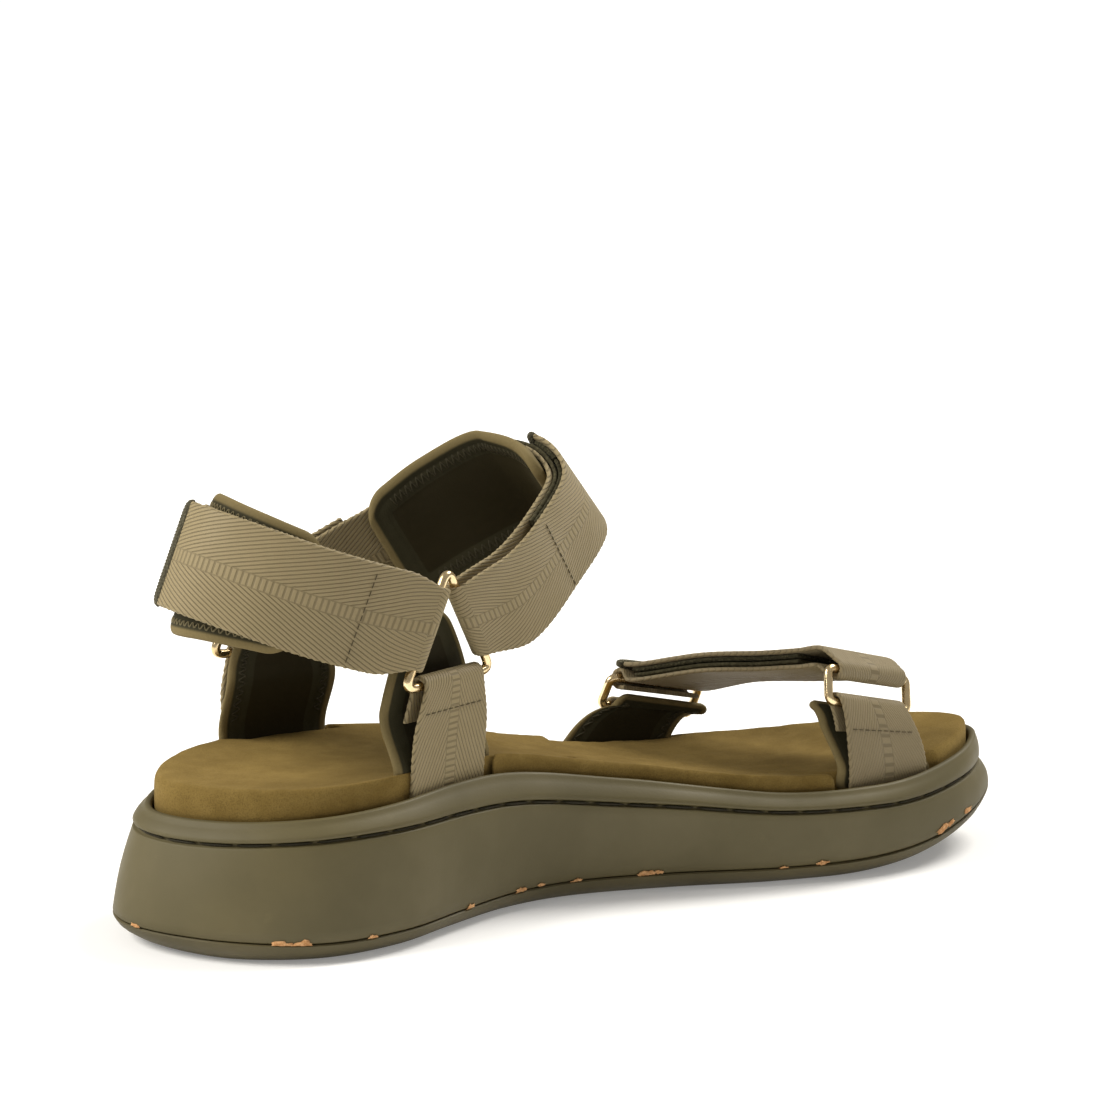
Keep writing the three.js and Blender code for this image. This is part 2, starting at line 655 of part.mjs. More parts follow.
strap('heel', heelTrack, {
  last: 9, split: 2.6, tip: 4.85, pad: [2.05, 8], patch: [1.3, 7], hooksEnd: 4.75,
  width: STRAP_WIDTH, fold: barWidth, anchor: tailOutside,
});
strap('instep', instepTrack, {
  last: 8, split: 3.4, tip: 4.2, pad: [3.1, 7], patch: [1.9, 6.6], hooksEnd: 4.1,
  width: STRAP_WIDTH, fold: barWidth, anchor: tailOutside,
});
strap('toe', toeTrack, {
  last: 6, tip: 5.7, patch: [2, 5], hooksEnd: 5.1,
  width: TOE_STRAP_WIDTH, fold: toeBarWidth, anchor: tailInside,
  hump: (station) => 0.5 * Math.exp(-((station - 1) ** 2)),
});

// The origin goes to the middle of the sandal's footprint, on the ground.
const bounds = new THREE.Box3().setFromObject(sandal);
const centre = bounds.getCenter(point(0, 0));
sandal.position.set(-centre.x, -centre.y, -bounds.min.z);

export default sandal;
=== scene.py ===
"""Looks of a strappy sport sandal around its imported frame.

Lengths are in millimetres until a mesh is made.
"""

import math
import random

import bmesh
import bpy
import numpy as np
from mathutils import Matrix, Vector


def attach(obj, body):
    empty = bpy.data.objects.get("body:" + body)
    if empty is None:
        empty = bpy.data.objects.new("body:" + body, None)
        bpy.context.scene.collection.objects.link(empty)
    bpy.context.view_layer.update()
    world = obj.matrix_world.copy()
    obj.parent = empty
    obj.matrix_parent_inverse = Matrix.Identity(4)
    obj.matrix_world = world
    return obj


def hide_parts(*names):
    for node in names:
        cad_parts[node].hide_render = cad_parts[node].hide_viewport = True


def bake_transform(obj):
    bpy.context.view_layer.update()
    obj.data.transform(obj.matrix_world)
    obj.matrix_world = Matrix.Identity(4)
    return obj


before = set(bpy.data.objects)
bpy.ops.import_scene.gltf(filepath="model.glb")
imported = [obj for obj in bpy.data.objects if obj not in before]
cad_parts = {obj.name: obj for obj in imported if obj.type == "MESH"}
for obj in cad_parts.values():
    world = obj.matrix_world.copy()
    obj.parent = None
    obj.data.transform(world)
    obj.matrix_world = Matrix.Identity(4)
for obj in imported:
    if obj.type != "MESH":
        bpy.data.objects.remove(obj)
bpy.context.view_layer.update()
random.seed(7)

# ---- driving dimensions
ORIGIN = np.array([0.33966, 125.39666, 0.0])   # the frame's origin, counted from the back of the rim
GAP = 0.3
WEBBING = 1.4
PATCH = 1.15
PAD = 3.4
LINING = 2.4
WIRE = 2.6
STRAP_WIDTH = 29.0
TOE_STRAP_WIDTH = 28.0
PATCH_WIDTH = 27.8
TOE_PATCH_WIDTH = 26.6
BAR_WIDTH = 23.6
TOE_BAR_WIDTH = 25.6
RIM_LIP = 2.0
FOOTBED_INSET = 2.6
GROOVE_DEPTH = 1.6
GROOVE_HALF_HEIGHT = 0.7
CHAMFER_INSET = 7.0
OUTLINE_STEPS = 576
SOLE_CENTRE = np.array([0.0, 128.0])

HOOK_TOP = WEBBING + GAP
LOOP_TOP = HOOK_TOP + PATCH + GAP
BASE_TOP = LOOP_TOP + PATCH + GAP
BASE_BOTTOM = BASE_TOP + WEBBING
PAD_TOP = BASE_BOTTOM + 0.35
BAR_DEPTH = (WEBBING + BASE_TOP) / 2
RAISED_TOP = WEBBING + GAP
UNDER_BAR_DEPTH = RAISED_TOP + WEBBING + 2 * GAP + WIRE / 2


# ---- small helpers
def unit(v):
    return v / np.linalg.norm(v)


def mix(a, b, t):
    return a + (b - a) * t


def smooth(t, low=0.0, high=1.0):
    t = np.clip((t - low) / (high - low), 0, 1)
    return t * t * (3 - 2 * t)


def at_station(value, s):
    """A value that may be one number or a function of the station."""
    return value(s) if callable(value) else value


def run_of(places):
    """Distance from the first place to each of them."""
    return np.concatenate([[0], np.cumsum(np.linalg.norm(np.diff(places, axis=0), axis=1))])


def profile(knots):
    """Smooth value along the foot through (y, value) knots, flat where the steps change direction."""
    xs = np.array([k[0] for k in knots], float)
    vs = np.array([k[1] for k in knots], float)
    steps = np.diff(vs) / np.diff(xs)
    slopes = np.empty(len(xs))
    slopes[0] = steps[0]
    slopes[-1] = steps[-1]
    for i in range(1, len(xs) - 1):
        same_way = steps[i - 1] * steps[i] > 0
        slopes[i] = (steps[i - 1] + steps[i]) / 2 if same_way else 0

    def value(y):
        y = np.clip(y, xs[0], xs[-1])
        i = np.clip(np.searchsorted(xs, y, side="right") - 1, 0, len(xs) - 2)
        span = xs[i + 1] - xs[i]
        t = (y - xs[i]) / span
        leave = t * (1 - t) ** 2 * span * slopes[i]
        arrive = t * t * (1 - t) * span * slopes[i + 1]
        return mix(vs[i], vs[i + 1], t * t * (3 - 2 * t)) + leave - arrive

    return value


def spline(points, closed=False, centripetal=True):
    """A Catmull-Rom curve through points, as a function of a share from 0 to 1."""
    points = [np.array(p, float) for p in points]
    count = len(points)

    def at(share):
        p = (count if closed else count - 1) * share
        i = int(math.floor(p))
        w = p - i
        if not closed and i >= count - 1:
            i, w = count - 2, 1.0
        if closed:
            p0, p1, p2, p3 = (points[(i + k) % count] for k in (-1, 0, 1, 2))
        else:
            p1, p2 = points[i], points[i + 1]
            p0 = points[i - 1] if i > 0 else 2 * p1 - p2
            p3 = points[i + 2] if i + 2 < count else 2 * p2 - p1
        if not centripetal:
            m1 = (p2 - p0) / 2
            m2 = (p3 - p1) / 2
        else:
            pairs = (p0, p1), (p1, p2), (p2, p3)
            d0, d1, d2 = (max(np.linalg.norm(b - a), 1e-6) ** 0.5 for a, b in pairs)
            m1 = ((p1 - p0) / d0 - (p2 - p0) / (d0 + d1) + (p2 - p1) / d1) * d1
            m2 = ((p2 - p1) / d1 - (p3 - p1) / (d1 + d2) + (p3 - p2) / d2) * d1
        rise = w * w * (3 - 2 * w)
        return mix(p1, p2, rise) + w * (1 - w) ** 2 * m1 - w * w * (1 - w) * m2

    return at


# ---- meshes
def grid_faces(rows, columns, wrap_rows=False, wrap_columns=False):
    """Quads of a grid of points stored row by row."""
    r = np.arange(rows if wrap_rows else rows - 1)
    c = np.arange(columns if wrap_columns else columns - 1)
    r, c = np.meshgrid(r, c, indexing="ij")
    r2 = (r + 1) % rows
    c2 = (c + 1) % columns
    quads = np.stack([r * columns + c, r * columns + c2, r2 * columns + c2, r2 * columns + c], -1)
    return quads.reshape(-1, 4).tolist()


def tube_faces(count, sides, start=0):
    """Faces of a closed tube through count rings, whose points begin at start."""
    faces = (np.array(grid_faces(count, sides, wrap_columns=True)) + start).tolist()
    last = start + (count - 1) * sides
    return faces + [list(range(start, start + sides))[::-1], list(range(last, last + sides))]


def add(name, data):
    obj = bpy.data.objects.new(name, data)
    bpy.context.scene.collection.objects.link(obj)
    return obj


def build(name, points, faces, material, uv=None, weld=False, crisp=0, **values):
    """A mesh object, its faces turned outward. values are float attributes, one number for each point."""
    mesh = bpy.data.meshes.new(name)
    mesh.from_pydata(((np.asarray(points) - ORIGIN) / 1000).tolist(), [], faces)
    if uv is not None:
        layer = mesh.uv_layers.new(name="Weave")
        corners = np.zeros(len(mesh.loops), int)
        mesh.loops.foreach_get("vertex_index", corners)
        layer.data.foreach_set("uv", np.asarray(uv, float)[corners].ravel())
    for key, numbers in values.items():
        attribute = mesh.attributes.new(key, "FLOAT", "POINT")
        attribute.data.foreach_set("value", np.asarray(numbers, np.float32))
    obj = add(name, mesh)
    shell = bmesh.new()
    shell.from_mesh(mesh)
    if weld:
        bmesh.ops.remove_doubles(shell, verts=shell.verts, dist=2e-6)
    bmesh.ops.recalc_face_normals(shell, faces=shell.faces)
    shell.to_mesh(mesh)
    shell.free()
    mesh.shade_smooth()
    if crisp:
        mesh.set_sharp_from_angle(angle=math.radians(crisp))
    mesh.materials.append(material)
    return obj


def reshape(obj, kind, **settings):
    """Apply one modifier to a piece's mesh."""
    modifier = obj.modifiers.new(kind, kind)
    for key, value in settings.items():
        setattr(modifier, key, value)
    bpy.context.view_layer.objects.active = obj
    bpy.ops.object.modifier_apply(modifier=modifier.name)


def keep(obj, body, slot, *nodes):
    """The piece rides on a body and stands for the nodes; slot is not used."""
    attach(obj, body)
    if nodes:
        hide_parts(*nodes)
    return obj


# ---- materials
class Shader:
    """A node material with short calls for its maths."""

    def __init__(self, name, color=(0.5, 0.5, 0.5), roughness=0.8, sheen=None, **settings):
        self.material = bpy.data.materials.new(name)
        self.material.use_nodes = True
        self.tree = self.material.node_tree
        self.shader = self.tree.nodes["Principled BSDF"]
        self.shader.inputs["Base Color"].default_value = (*color, 1)
        self.shader.inputs["Roughness"].default_value = roughness
        if sheen:
            weight, spread, tint = sheen
            settings.update(Sheen_Weight=weight, Sheen_Roughness=spread, Sheen_Tint=(*tint, 1))
        for key, value in settings.items():
            self.shader.inputs[key.replace("_", " ")].default_value = value

    def node(self, kind, inputs=None, output=0, **settings):
        node = self.tree.nodes.new(kind)
        for key, value in settings.items():
            setattr(node, key, value)
        for key, value in (inputs or {}).items():
            self.put(node.inputs[key], value)
        return node.outputs[output]

    def put(self, socket, value):
        if isinstance(value, bpy.types.NodeSocket):
            self.tree.links.new(value, socket)
        else:
            socket.default_value = value

    def math(self, operation, a, b=0.0, c=0.0):
        return self.node("ShaderNodeMath", {0: a, 1: b, 2: c}, operation=operation)

    def plus(self, a, b):
        return self.math("ADD", a, b)

    def minus(self, a, b):
        return self.math("SUBTRACT", a, b)

    def times(self, a, b):
        return self.math("MULTIPLY", a, b)

    def step(self, value, low, high, start=0.0, stop=1.0):
        inputs = {"Value": value, "From Min": low, "From Max": high, "To Min": start, "To Max": stop}
        return self.node("ShaderNodeMapRange", inputs, interpolation_type="SMOOTHSTEP")

    def place(self):
        return self.node("ShaderNodeTexCoord", output="Object")

    def noise(self, scale, detail=3.0, roughness=0.55):
        inputs = {"Vector": self.place(), "Scale": scale, "Detail": detail, "Roughness": roughness}
        return self.node("ShaderNodeTexNoise", inputs)

    def value(self, name):
        return self.node("ShaderNodeAttribute", output="Fac", attribute_name=name)

    def blend(self, share, a, b):
        as_color = [(*x, 1) if isinstance(x, tuple) else x for x in (a, b)]
        node = self.tree.nodes.new("ShaderNodeMix")
        node.data_type = "RGBA"
        self.put(node.inputs[0], share)
        self.put(node.inputs[6], as_color[0])
        self.put(node.inputs[7], as_color[1])
        return node.outputs[2]

    def finish(self, color=None, roughness=None, height=None, depth=0.0002, strength=1.0):
        if color is not None:
            self.put(self.shader.inputs["Base Color"], color)
        if roughness is not None:
            self.put(self.shader.inputs["Roughness"], roughness)
        if height is not None:
            bump = self.node("ShaderNodeBump", {"Height": height, "Distance": depth, "Strength": strength})
            self.put(self.shader.inputs["Normal"], bump)
        return self.material


TWILL_SLOPE = 2.4        # how many millimetres a twill line runs along for one across


def webbing_material(name, pale, dark, pitch, ladder_pitch, ladder_half, twill_depth=1.0):
    """Twill lines that meet in a ladder of short rungs down the middle. The UV map is in millimetres."""
    s = Shader(name, roughness=0.62, sheen=(0.2, 0.4, (0.8, 0.7, 0.5)), Specular_IOR_Level=0.3)
    uv = s.node("ShaderNodeUVMap", uv_map="Weave")
    parts = s.tree.nodes.new("ShaderNodeSeparateXYZ")
    s.put(parts.inputs[0], uv)
    along, side = parts.outputs[0], s.math("ABSOLUTE", parts.outputs[1])
    wobble = s.times(s.minus(s.noise(160.0, 1.0), 0.5), 0.35)
    slanted = s.plus(s.plus(along, wobble), s.times(side, TWILL_SLOPE))
    line = s.step(s.math("PINGPONG", s.math("DIVIDE", slanted, pitch), 0.5), 0.04, 0.2, 1.0, 0.0)
    rung = s.step(s.math("PINGPONG", s.math("DIVIDE", along, ladder_pitch), 0.5), 0.1, 0.26, 1.0, 0.0)
    border = s.step(s.math("ABSOLUTE", s.minus(side, ladder_half)), 0.15, 0.45, 0.8, 0.0)
    column = s.step(side, ladder_half - 0.15, ladder_half + 0.15, 1.0, 0.0)
    in_column = s.times(s.times(s.math("MAXIMUM", rung, border), column), 0.75)
    in_twill = s.times(s.times(line, twill_depth), s.minus(1.0, column))
    pattern = s.plus(in_column, in_twill)
    threads = s.noise(2600.0, 2.0)
    cloudy = s.noise(45.0, 3.0)
    lit = s.blend(s.times(cloudy, 0.5), pale, tuple(c * 0.72 for c in pale))
    lit = s.blend(s.times(threads, 0.35), lit, tuple(min(1, c * 1.35) for c in pale))
    color = s.blend(s.times(pattern, 0.62), lit, dark)
    height = s.minus(s.times(threads, 0.25), pattern)
    rough = s.step(cloudy, 0.3, 0.7, 0.52, 0.68)
    return s.finish(color, rough, height, 0.00022, 0.8)


def neoprene_material():
    """Knit-faced neoprene: a khaki rolled edge, an olive border and a darker panel."""
    s = Shader("neoprene", sheen=(0.06, 0.5, (0.5, 0.42, 0.22)), Specular_IOR_Level=0.15)
    edge = s.value("edge")
    rim = s.step(edge, 1.6, 2.6, 1.0, 0.0)
    panel = s.step(edge, 7.2, 7.8)
    knit = s.noise(1900.0, 2.0)
    cloudy = s.noise(60.0, 3.0)
    border = s.blend(cloudy, (0.042, 0.038, 0.018), (0.028, 0.025, 0.012))
    color = s.blend(panel, border, (0.021, 0.016, 0.005))
    color = s.blend(rim, color, s.blend(cloudy, (0.21, 0.16, 0.068), (0.15, 0.115, 0.05)))
    color = s.blend(s.times(knit, 0.3), color, (0.02, 0.017, 0.008))
    return s.finish(color, s.step(cloudy, 0.3, 0.7, 0.7, 0.85), knit, 0.00012, 0.5)


def suede_material():
    """Brushed suede whose nap lies in light and dark strokes."""
    s = Shader("suede", sheen=(0.2, 0.6, (0.6, 0.45, 0.18)), Specular_IOR_Level=0.1)
    nap = s.noise(38.0, 5.0, 0.65)
    strokes = s.noise(150.0, 4.0, 0.6)
    grain = s.noise(2400.0, 3.0, 0.7)
    color = s.blend(s.step(nap, 0.3, 0.72), (0.13, 0.083, 0.021), (0.185, 0.122, 0.033))
    color = s.blend(s.times(s.step(strokes, 0.4, 0.7), 0.25), color, (0.235, 0.16, 0.05))
    color = s.blend(s.times(s.step(grain, 0.45, 0.62), 0.45), color, (0.07, 0.045, 0.012))
    height = s.plus(s.times(grain, 0.7), strokes)
    return s.finish(color, s.step(nap, 0.3, 0.7, 0.98, 0.86), height, 0.00025, 0.55)


def sole_material(name, color, dark):
    """Matte foamed rubber with faint mottling and scuffs."""
    s = Shader(name, Specular_IOR_Level=0.35)
    mottled = s.noise(30.0, 4.0)
    skin = s.noise(1300.0, 3.0, 0.6)
    scuffs = s.step(s.noise(90.0, 6.0, 0.75), 0.62, 0.72)
    shade = s.blend(s.step(mottled, 0.3, 0.7), color, dark)
    shade = s.blend(s.times(scuffs, 0.18), shade, tuple(c * 1.5 for c in color))
    return s.finish(shade, s.step(mottled, 0.3, 0.7, 0.5, 0.64), skin, 0.00006, 0.45)


def fuzzy_material(name, color, dark, scale):
    """Hook and loop tape."""
    s = Shader(name, sheen=(0.15, 0.7, (0.5, 0.45, 0.25)), Specular_IOR_Level=0.12)
    hooks = s.node("ShaderNodeTexVoronoi", {"Vector": s.place(), "Scale": scale})
    tufts = s.noise(420.0, 4.0, 0.7)
    shade = s.blend(s.step(hooks, 0.1, 0.6), color, dark)
    height = s.minus(tufts, hooks)
    return s.finish(shade, s.step(tufts, 0.3, 0.7, 0.85, 0.97), height, 0.0005, 0.9)


def thread_material(name, color):
    s = Shader(name, sheen=(0.1, 0.5, (0.6, 0.5, 0.3)), Specular_IOR_Level=0.2)
    twist = s.noise(3000.0, 2.0)
    shade = s.blend(twist, color, tuple(c * 0.45 for c in color))
    return s.finish(shade, s.step(twist, 0.3, 0.7, 0.6, 0.8), twist, 0.0001, 0.6)


def gold_material():
    """Pale polished gold plating with fine scratches."""
    s = Shader("pale_gold", color=(0.83, 0.65, 0.36), Metallic=1.0)
    haze = s.noise(220.0, 4.0, 0.6)
    fine = s.noise(2500.0, 2.0)
    color = s.blend(s.step(haze, 0.35, 0.7), (0.86, 0.69, 0.42), (0.7, 0.52, 0.27))
    return s.finish(color, s.step(haze, 0.3, 0.75, 0.14, 0.34), fine, 0.00003, 0.25)


def chip_material():
    s = Shader("worn_cork", Specular_IOR_Level=0.2)
    crumbs = s.noise(900.0, 4.0, 0.7)
    shade = s.blend(s.step(crumbs, 0.35, 0.65), (0.42, 0.2, 0.075), (0.62, 0.36, 0.17))
    return s.finish(shade, s.step(crumbs, 0.3, 0.7, 0.85, 0.95), crumbs, 0.0004, 0.8)


def plain_material(name, color, dark, scale):
    s = Shader(name)
    grain = s.noise(scale, 4.0)
    return s.finish(s.blend(grain, color, dark), s.step(grain, 0.3, 0.7, 0.8, 0.92), grain, 0.0002, 0.5)


TWILL_PITCH = 2.75
LADDER_PITCH = 1.7
LADDER_HALF = 1.9
webbing = webbing_material(
    "webbing", (0.245, 0.193, 0.1), (0.068, 0.051, 0.021), TWILL_PITCH, LADDER_PITCH, LADDER_HALF,
)
toe_webbing = webbing_material(
    "toe_webbing", (0.21, 0.166, 0.09), (0.068, 0.051, 0.023), 2.2, 2.9, 1.7, twill_depth=0.6,
)
neoprene = neoprene_material()
suede = suede_material()
sole_foam = sole_material("sole_foam", (0.108, 0.088, 0.037), (0.09, 0.074, 0.031))
sole_rubber = sole_material("sole_rubber", (0.098, 0.079, 0.033), (0.078, 0.064, 0.027))
hooks_tape = fuzzy_material("hook_tape", (0.05, 0.045, 0.024), (0.018, 0.016, 0.008), 1100.0)
loop_tape = fuzzy_material("loop_tape", (0.06, 0.052, 0.028), (0.03, 0.026, 0.013), 700.0)
dark_thread = thread_material("dark_thread", (0.035, 0.03, 0.016))
seam_thread = thread_material("seam_thread", (0.09, 0.07, 0.036))
olive_thread = thread_material("olive_thread", (0.2, 0.165, 0.085))
border_thread = thread_material("border_thread", (0.05, 0.043, 0.022))
binding_tape = fuzzy_material("binding_tape", (0.1, 0.092, 0.062), (0.05, 0.045, 0.03), 1500.0)
gold = gold_material()
worn_cork = chip_material()
board = plain_material("fibre_board", (0.36, 0.26, 0.15), (0.25, 0.17, 0.09), 400.0)
# The footbed core's dark olive is partly its own colour and partly painted shade: the core shows in the
# gaps beside the quarters, and its darkness stands in for the shade there.
foam_and_slot_shade = plain_material("footbed_foam_and_slot_shade", (0.075, 0.06, 0.028), (0.05, 0.04, 0.018), 900.0)

for node_name, node_material in (("insole_board", board), ("footbed_core", foam_and_slot_shade)):
    node_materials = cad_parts[node_name].data.materials
    node_materials.clear()
    node_materials.append(node_material)

# ---- sole outline and heights
rim_curve = spline([
    (0, 0), (21.5, 9.5), (36.3, 31), (37.5, 55), (31, 76), (24.2, 98),
    (23, 116), (29.4, 146), (37.9, 174), (42, 203), (38.6, 225),
    (28.5, 245), (14, 255.5), (1, 251), (-10, 241), (-23.6, 221),
    (-32.5, 199), (-36.6, 172), (-35.8, 144), (-35, 115), (-37.4, 85),
    (-39.8, 57), (-34.2, 30), (-20.5, 10),
], closed=True)


def evenly_spaced(curve, count, samples=4000):
    """Points at equal distances along a closed curve."""
    fine = np.array([curve(i / samples) for i in range(samples + 1)])
    run = run_of(fine)
    wanted = np.arange(count) * run[-1] / count
    return np.stack([np.interp(wanted, run, fine[:, k]) for k in range(fine.shape[1])], 1)


rim = evenly_spaced(rim_curve, OUTLINE_STEPS)
rim_along = np.roll(rim, -1, 0) - np.roll(rim, 1, 0)
rim_along /= np.linalg.norm(rim_along, axis=1)[:, None]
rim_out = np.stack([rim_along[:, 1], -rim_along[:, 0]], 1)
RIM_STEP = float(np.linalg.norm(rim[1] - rim[0]))

medial_rim = profile([
    (0, 35.9), (45, 38.5), (85, 41), (130, 34.8), (175, 27.3), (205, 26.7), (256, 32.5),
])
lateral_rim = profile([
    (0, 35.9), (40, 37), (90, 36.8), (130, 30.2), (155, 26), (180, 24.2), (215, 25), (256, 32.5),
])
groove_drop = profile([(0, 5.4), (40, 5.6), (90, 8), (130, 7), (180, 5), (256, 7.7)])
parting_height = profile([(0, 6.8), (40, 5.7), (130, 6), (180, 5.6), (225, 8.6), (256, 16.6)])
ground_height = profile([(-6, 1.2), (14, 0), (190, 0), (225, 2.8), (256, 10.4)])
groove_offset = profile([(0, 3.4), (128, 4), (200, 3), (256, 1.4)])
parting_offset = profile([(0, 9.2), (40, 6), (90, 1.4), (180, 0.4), (230, 2.6), (256, 4.5)])
cup_depth = profile([(0, 12), (128, 10), (256, 8.5)])
suede_rise = profile([(0, 8.2), (60, 6.6), (110, 4.6), (180, 4), (256, 4)])
dish_depth = profile([(0, 4), (40, 5), (100, 3), (180, 1.6), (256, 1.2)])


RIM_CROSSING = 68.0      # the rim's height goes over from one side to the other across this width


def rim_height(x, y):
    return mix(lateral_rim(y), medial_rim(y), np.clip(x / RIM_CROSSING + 0.5, 0, 1))


def groove_height(x, y):
    return rim_height(x, y) - groove_drop(y)


def cup_floor(x, y):
    return rim_height(x, y) - cup_depth(y)


def footbed_top(x, y, share):
    return rim_height(x, y) + suede_rise(y) - dish_depth(y) * (1 - share * share)


def outline(offset, height):
    """The rim pushed outward by offset, at a height found from x and y."""
    outward = offset(rim[:, 1]) if callable(offset) else np.broadcast_to(offset, len(rim))
    moved = rim + rim_out * outward[:, None]
    return np.column_stack([moved, np.broadcast_to(height(moved[:, 0], moved[:, 1]), len(rim))])


def inward(offset, inset):
    return lambda y: offset(y) - inset


def raised(height, lift):
    return lambda x, y: height(x, y) + lift


def face_rings(edge, height, shares):
    """Rings of a face inside an edge, from near its centre outward."""
    rings = []
    for share in shares:
        flat = mix(SOLE_CENTRE, edge[:, :2], share)
        rings.append(np.column_stack([flat, height(flat[:, 0], flat[:, 1])]))
    return rings


def wall_rings(steps, bulge, offsets, heights):
    """Rings of a bulging wall, from just above its foot up to its top."""
    rings = []
    for t in (i / steps for i in range(1, steps + 1)):
        rings.append(outline(
            lambda y: mix(offsets[0](y), offsets[1](y), t) + bulge * math.sin(math.pi * t),
            lambda x, y: mix(heights[0](x, y), heights[1](x, y), t),
        ))
    return rings


def loft_rings(name, rings, material, **values):
    """A closed body through rings round the sole, its first and last ring closed by a fan."""
    columns = len(rings[0])
    points = np.vstack(rings + [rings[0].mean(0)[None], rings[-1].mean(0)[None]])
    faces = grid_faces(len(rings), columns, wrap_columns=True)
    first, last = len(rings) * columns, len(rings) * columns + 1
    start = (len(rings) - 1) * columns
    for i in range(columns):
        j = (i + 1) % columns
        faces.append((first, j, i))
        faces.append((last, start + i, start + j))
    return build(name, points, faces, material, **values)


# ---- sole pieces
SEAM_ROUNDING = 0.45     # height of the rounded edge above the seam between the sole's layers
WALL_STEPS = 9
WALL_BULGE = 0.7
COLLAR_STEPS = 4
COLLAR_BULGE = 0.35
LIP_STEPS = 6
LIP_OVERHANG = 0.25      # how far the rolled lip stands out past the rim
LIP_ROLL = 1.0           # height of the roll
GROOVE_MOUTH = 0.12
groove_low = raised(groove_height, -GROOVE_HALF_HEIGHT)
groove_high = raised(groove_height, GROOVE_HALF_HEIGHT)
# The stitch groove's section: (distance inward, height, the level that it is counted from).
GROOVE_SECTION = (
    (GROOVE_MOUTH, 0.0, groove_low), (0.5, 0.12, groove_low), (GROOVE_DEPTH, 0.25, groove_low),
    (GROOVE_DEPTH, -0.25, groove_high), (0.7, -0.08, groove_high), (0.3, 0.15, groove_high),
    (GROOVE_MOUTH, 0.5, groove_high),
)


def make_midsole():
    bottom = lambda x, y: parting_height(y) + GAP / 2
    foot = raised(bottom, SEAM_ROUNDING)
    widest = outline(inward(parting_offset, 0.5), bottom)
    rings = face_rings(widest, bottom, (0.02, 0.3, 0.6, 0.9)) + [widest, outline(parting_offset, foot)]
    rings += wall_rings(
        WALL_STEPS, WALL_BULGE, (parting_offset, groove_offset), (foot, raised(groove_low, -0.3)),
    )
    for inset, lift, height in GROOVE_SECTION:
        rings.append(outline(inward(groove_offset, inset), raised(height, lift)))
    rings += wall_rings(
        COLLAR_STEPS, COLLAR_BULGE, (inward(groove_offset, GROOVE_MOUTH), lambda y: LIP_OVERHANG),
        (raised(groove_high, 0.5), raised(rim_height, -LIP_ROLL)),
    )
    middle, radius = -(RIM_LIP - LIP_OVERHANG) / 2, (RIM_LIP + LIP_OVERHANG) / 2
    for turn in (math.pi * i / LIP_STEPS for i in range(1, LIP_STEPS)):
        up = LIP_ROLL * math.sin(turn) - LIP_ROLL
        rings.append(outline(middle + radius * math.cos(turn), raised(rim_height, up)))
    cup = outline(-RIM_LIP, cup_floor)
    rings += [outline(-RIM_LIP, raised(rim_height, -1.2)), cup]
    rings += face_rings(cup, cup_floor, (0.02, 0.5))[::-1]
    return loft_rings("midsole_foam", rings, sole_foam)


# The outsole's worn-round edge: (distance inward, share of the height from the ground to the seam).
OUTSOLE_EDGE = ((0.5, 0.75), (1.2, 0.58), (2.2, 0.42), (3.6, 0.26), (5.2, 0.1), (6.2, 0.03))


def make_outsole():
    ground = lambda x, y: ground_height(y)
    top = lambda x, y: parting_height(y) - GAP / 2
    widest = outline(inward(parting_offset, 0.4), top)
    ground_edge = outline(inward(parting_offset, CHAMFER_INSET), ground)
    rings = face_rings(widest, top, (0.02, 0.5)) + [widest, outline(parting_offset, raised(top, -0.35))]
    for inset, share in OUTSOLE_EDGE:
        part_way = lambda x, y: mix(ground_height(y), parting_height(y), share)
        rings.append(outline(inward(parting_offset, inset), part_way))
    rings.append(ground_edge)
    rings += face_rings(ground_edge, ground, (0.03, 0.35, 0.65, 0.92))[::-1]
    sole = loft_rings("outsole_rubber", rings, sole_rubber)
    cut_tread(sole, ground_edge)
    return sole


TREAD_PITCH = 8.5
TREAD_WIDTH = 2.4
TREAD_DEPTH = 1.5
TREAD_WAVE = 3.2         # how far a groove swings to each side
TREAD_WAVELENGTH = 17
TREAD_MARGIN = 4.5
TREAD_START, TREAD_STOP = 12.0, 236.0
TREAD_SHORTEST = 12
TREAD_STEPS = 28


def cut_tread(sole, edge):
    """Wavy grooves across the ground face, kept inside its edge."""
    points, faces = [], []
    section = ((-1, -2.0), (1, -2.0), (0.7, TREAD_DEPTH), (-0.7, TREAD_DEPTH))
    for y in np.arange(TREAD_START, TREAD_STOP, TREAD_PITCH):
        near = edge[np.abs(edge[:, 1] - y) < 3.5]
        left, right = near[:, 0].min() + TREAD_MARGIN, near[:, 0].max() - TREAD_MARGIN
        if right - left <= TREAD_SHORTEST:
            continue
        faces += tube_faces(TREAD_STEPS + 1, len(section), len(points))
        for x in np.linspace(left, right, TREAD_STEPS + 1):
            middle = y + TREAD_WAVE * math.sin(2 * math.pi * x / TREAD_WAVELENGTH)
            ground = float(ground_height(middle))
            points += [(x, middle + dy * TREAD_WIDTH / 2, ground + z) for dy, z in section]
    cutter = build("tread_cutter", points, faces, sole_rubber)
    reshape(sole, "BOOLEAN", operation="DIFFERENCE", solver="EXACT", object=cutter)
    bpy.data.objects.remove(cutter)
    sole.data.shade_smooth()
    sole.data.set_sharp_from_angle(angle=math.radians(40))


# Rounding of the suede's edge: (height below the top, distance inward).
SUEDE_SHOULDER = (
    (7.0, 0.0), (4.5, 0.0), (3.0, 0.05), (2.0, 0.2), (1.2, 0.5), (0.6, 1.0), (0.25, 1.6), (0.08, 2.2),
)
SUEDE_HEM = 2.2          # height of the suede's lower edge above the cup's floor
SLOT_CORNER = 1.2
NAP_LIFT = 0.25
# Where the layers of each quarter go down beside the footbed: (side, y, half length, depth).
QUARTER_SLOTS = ((1, 73.6, 16.6, 5.2), (-1, 50.0, 16.4, 6.4), (1, 211.0, 17.8, 6.2), (-1, 156.0, 19.2, 5.4))


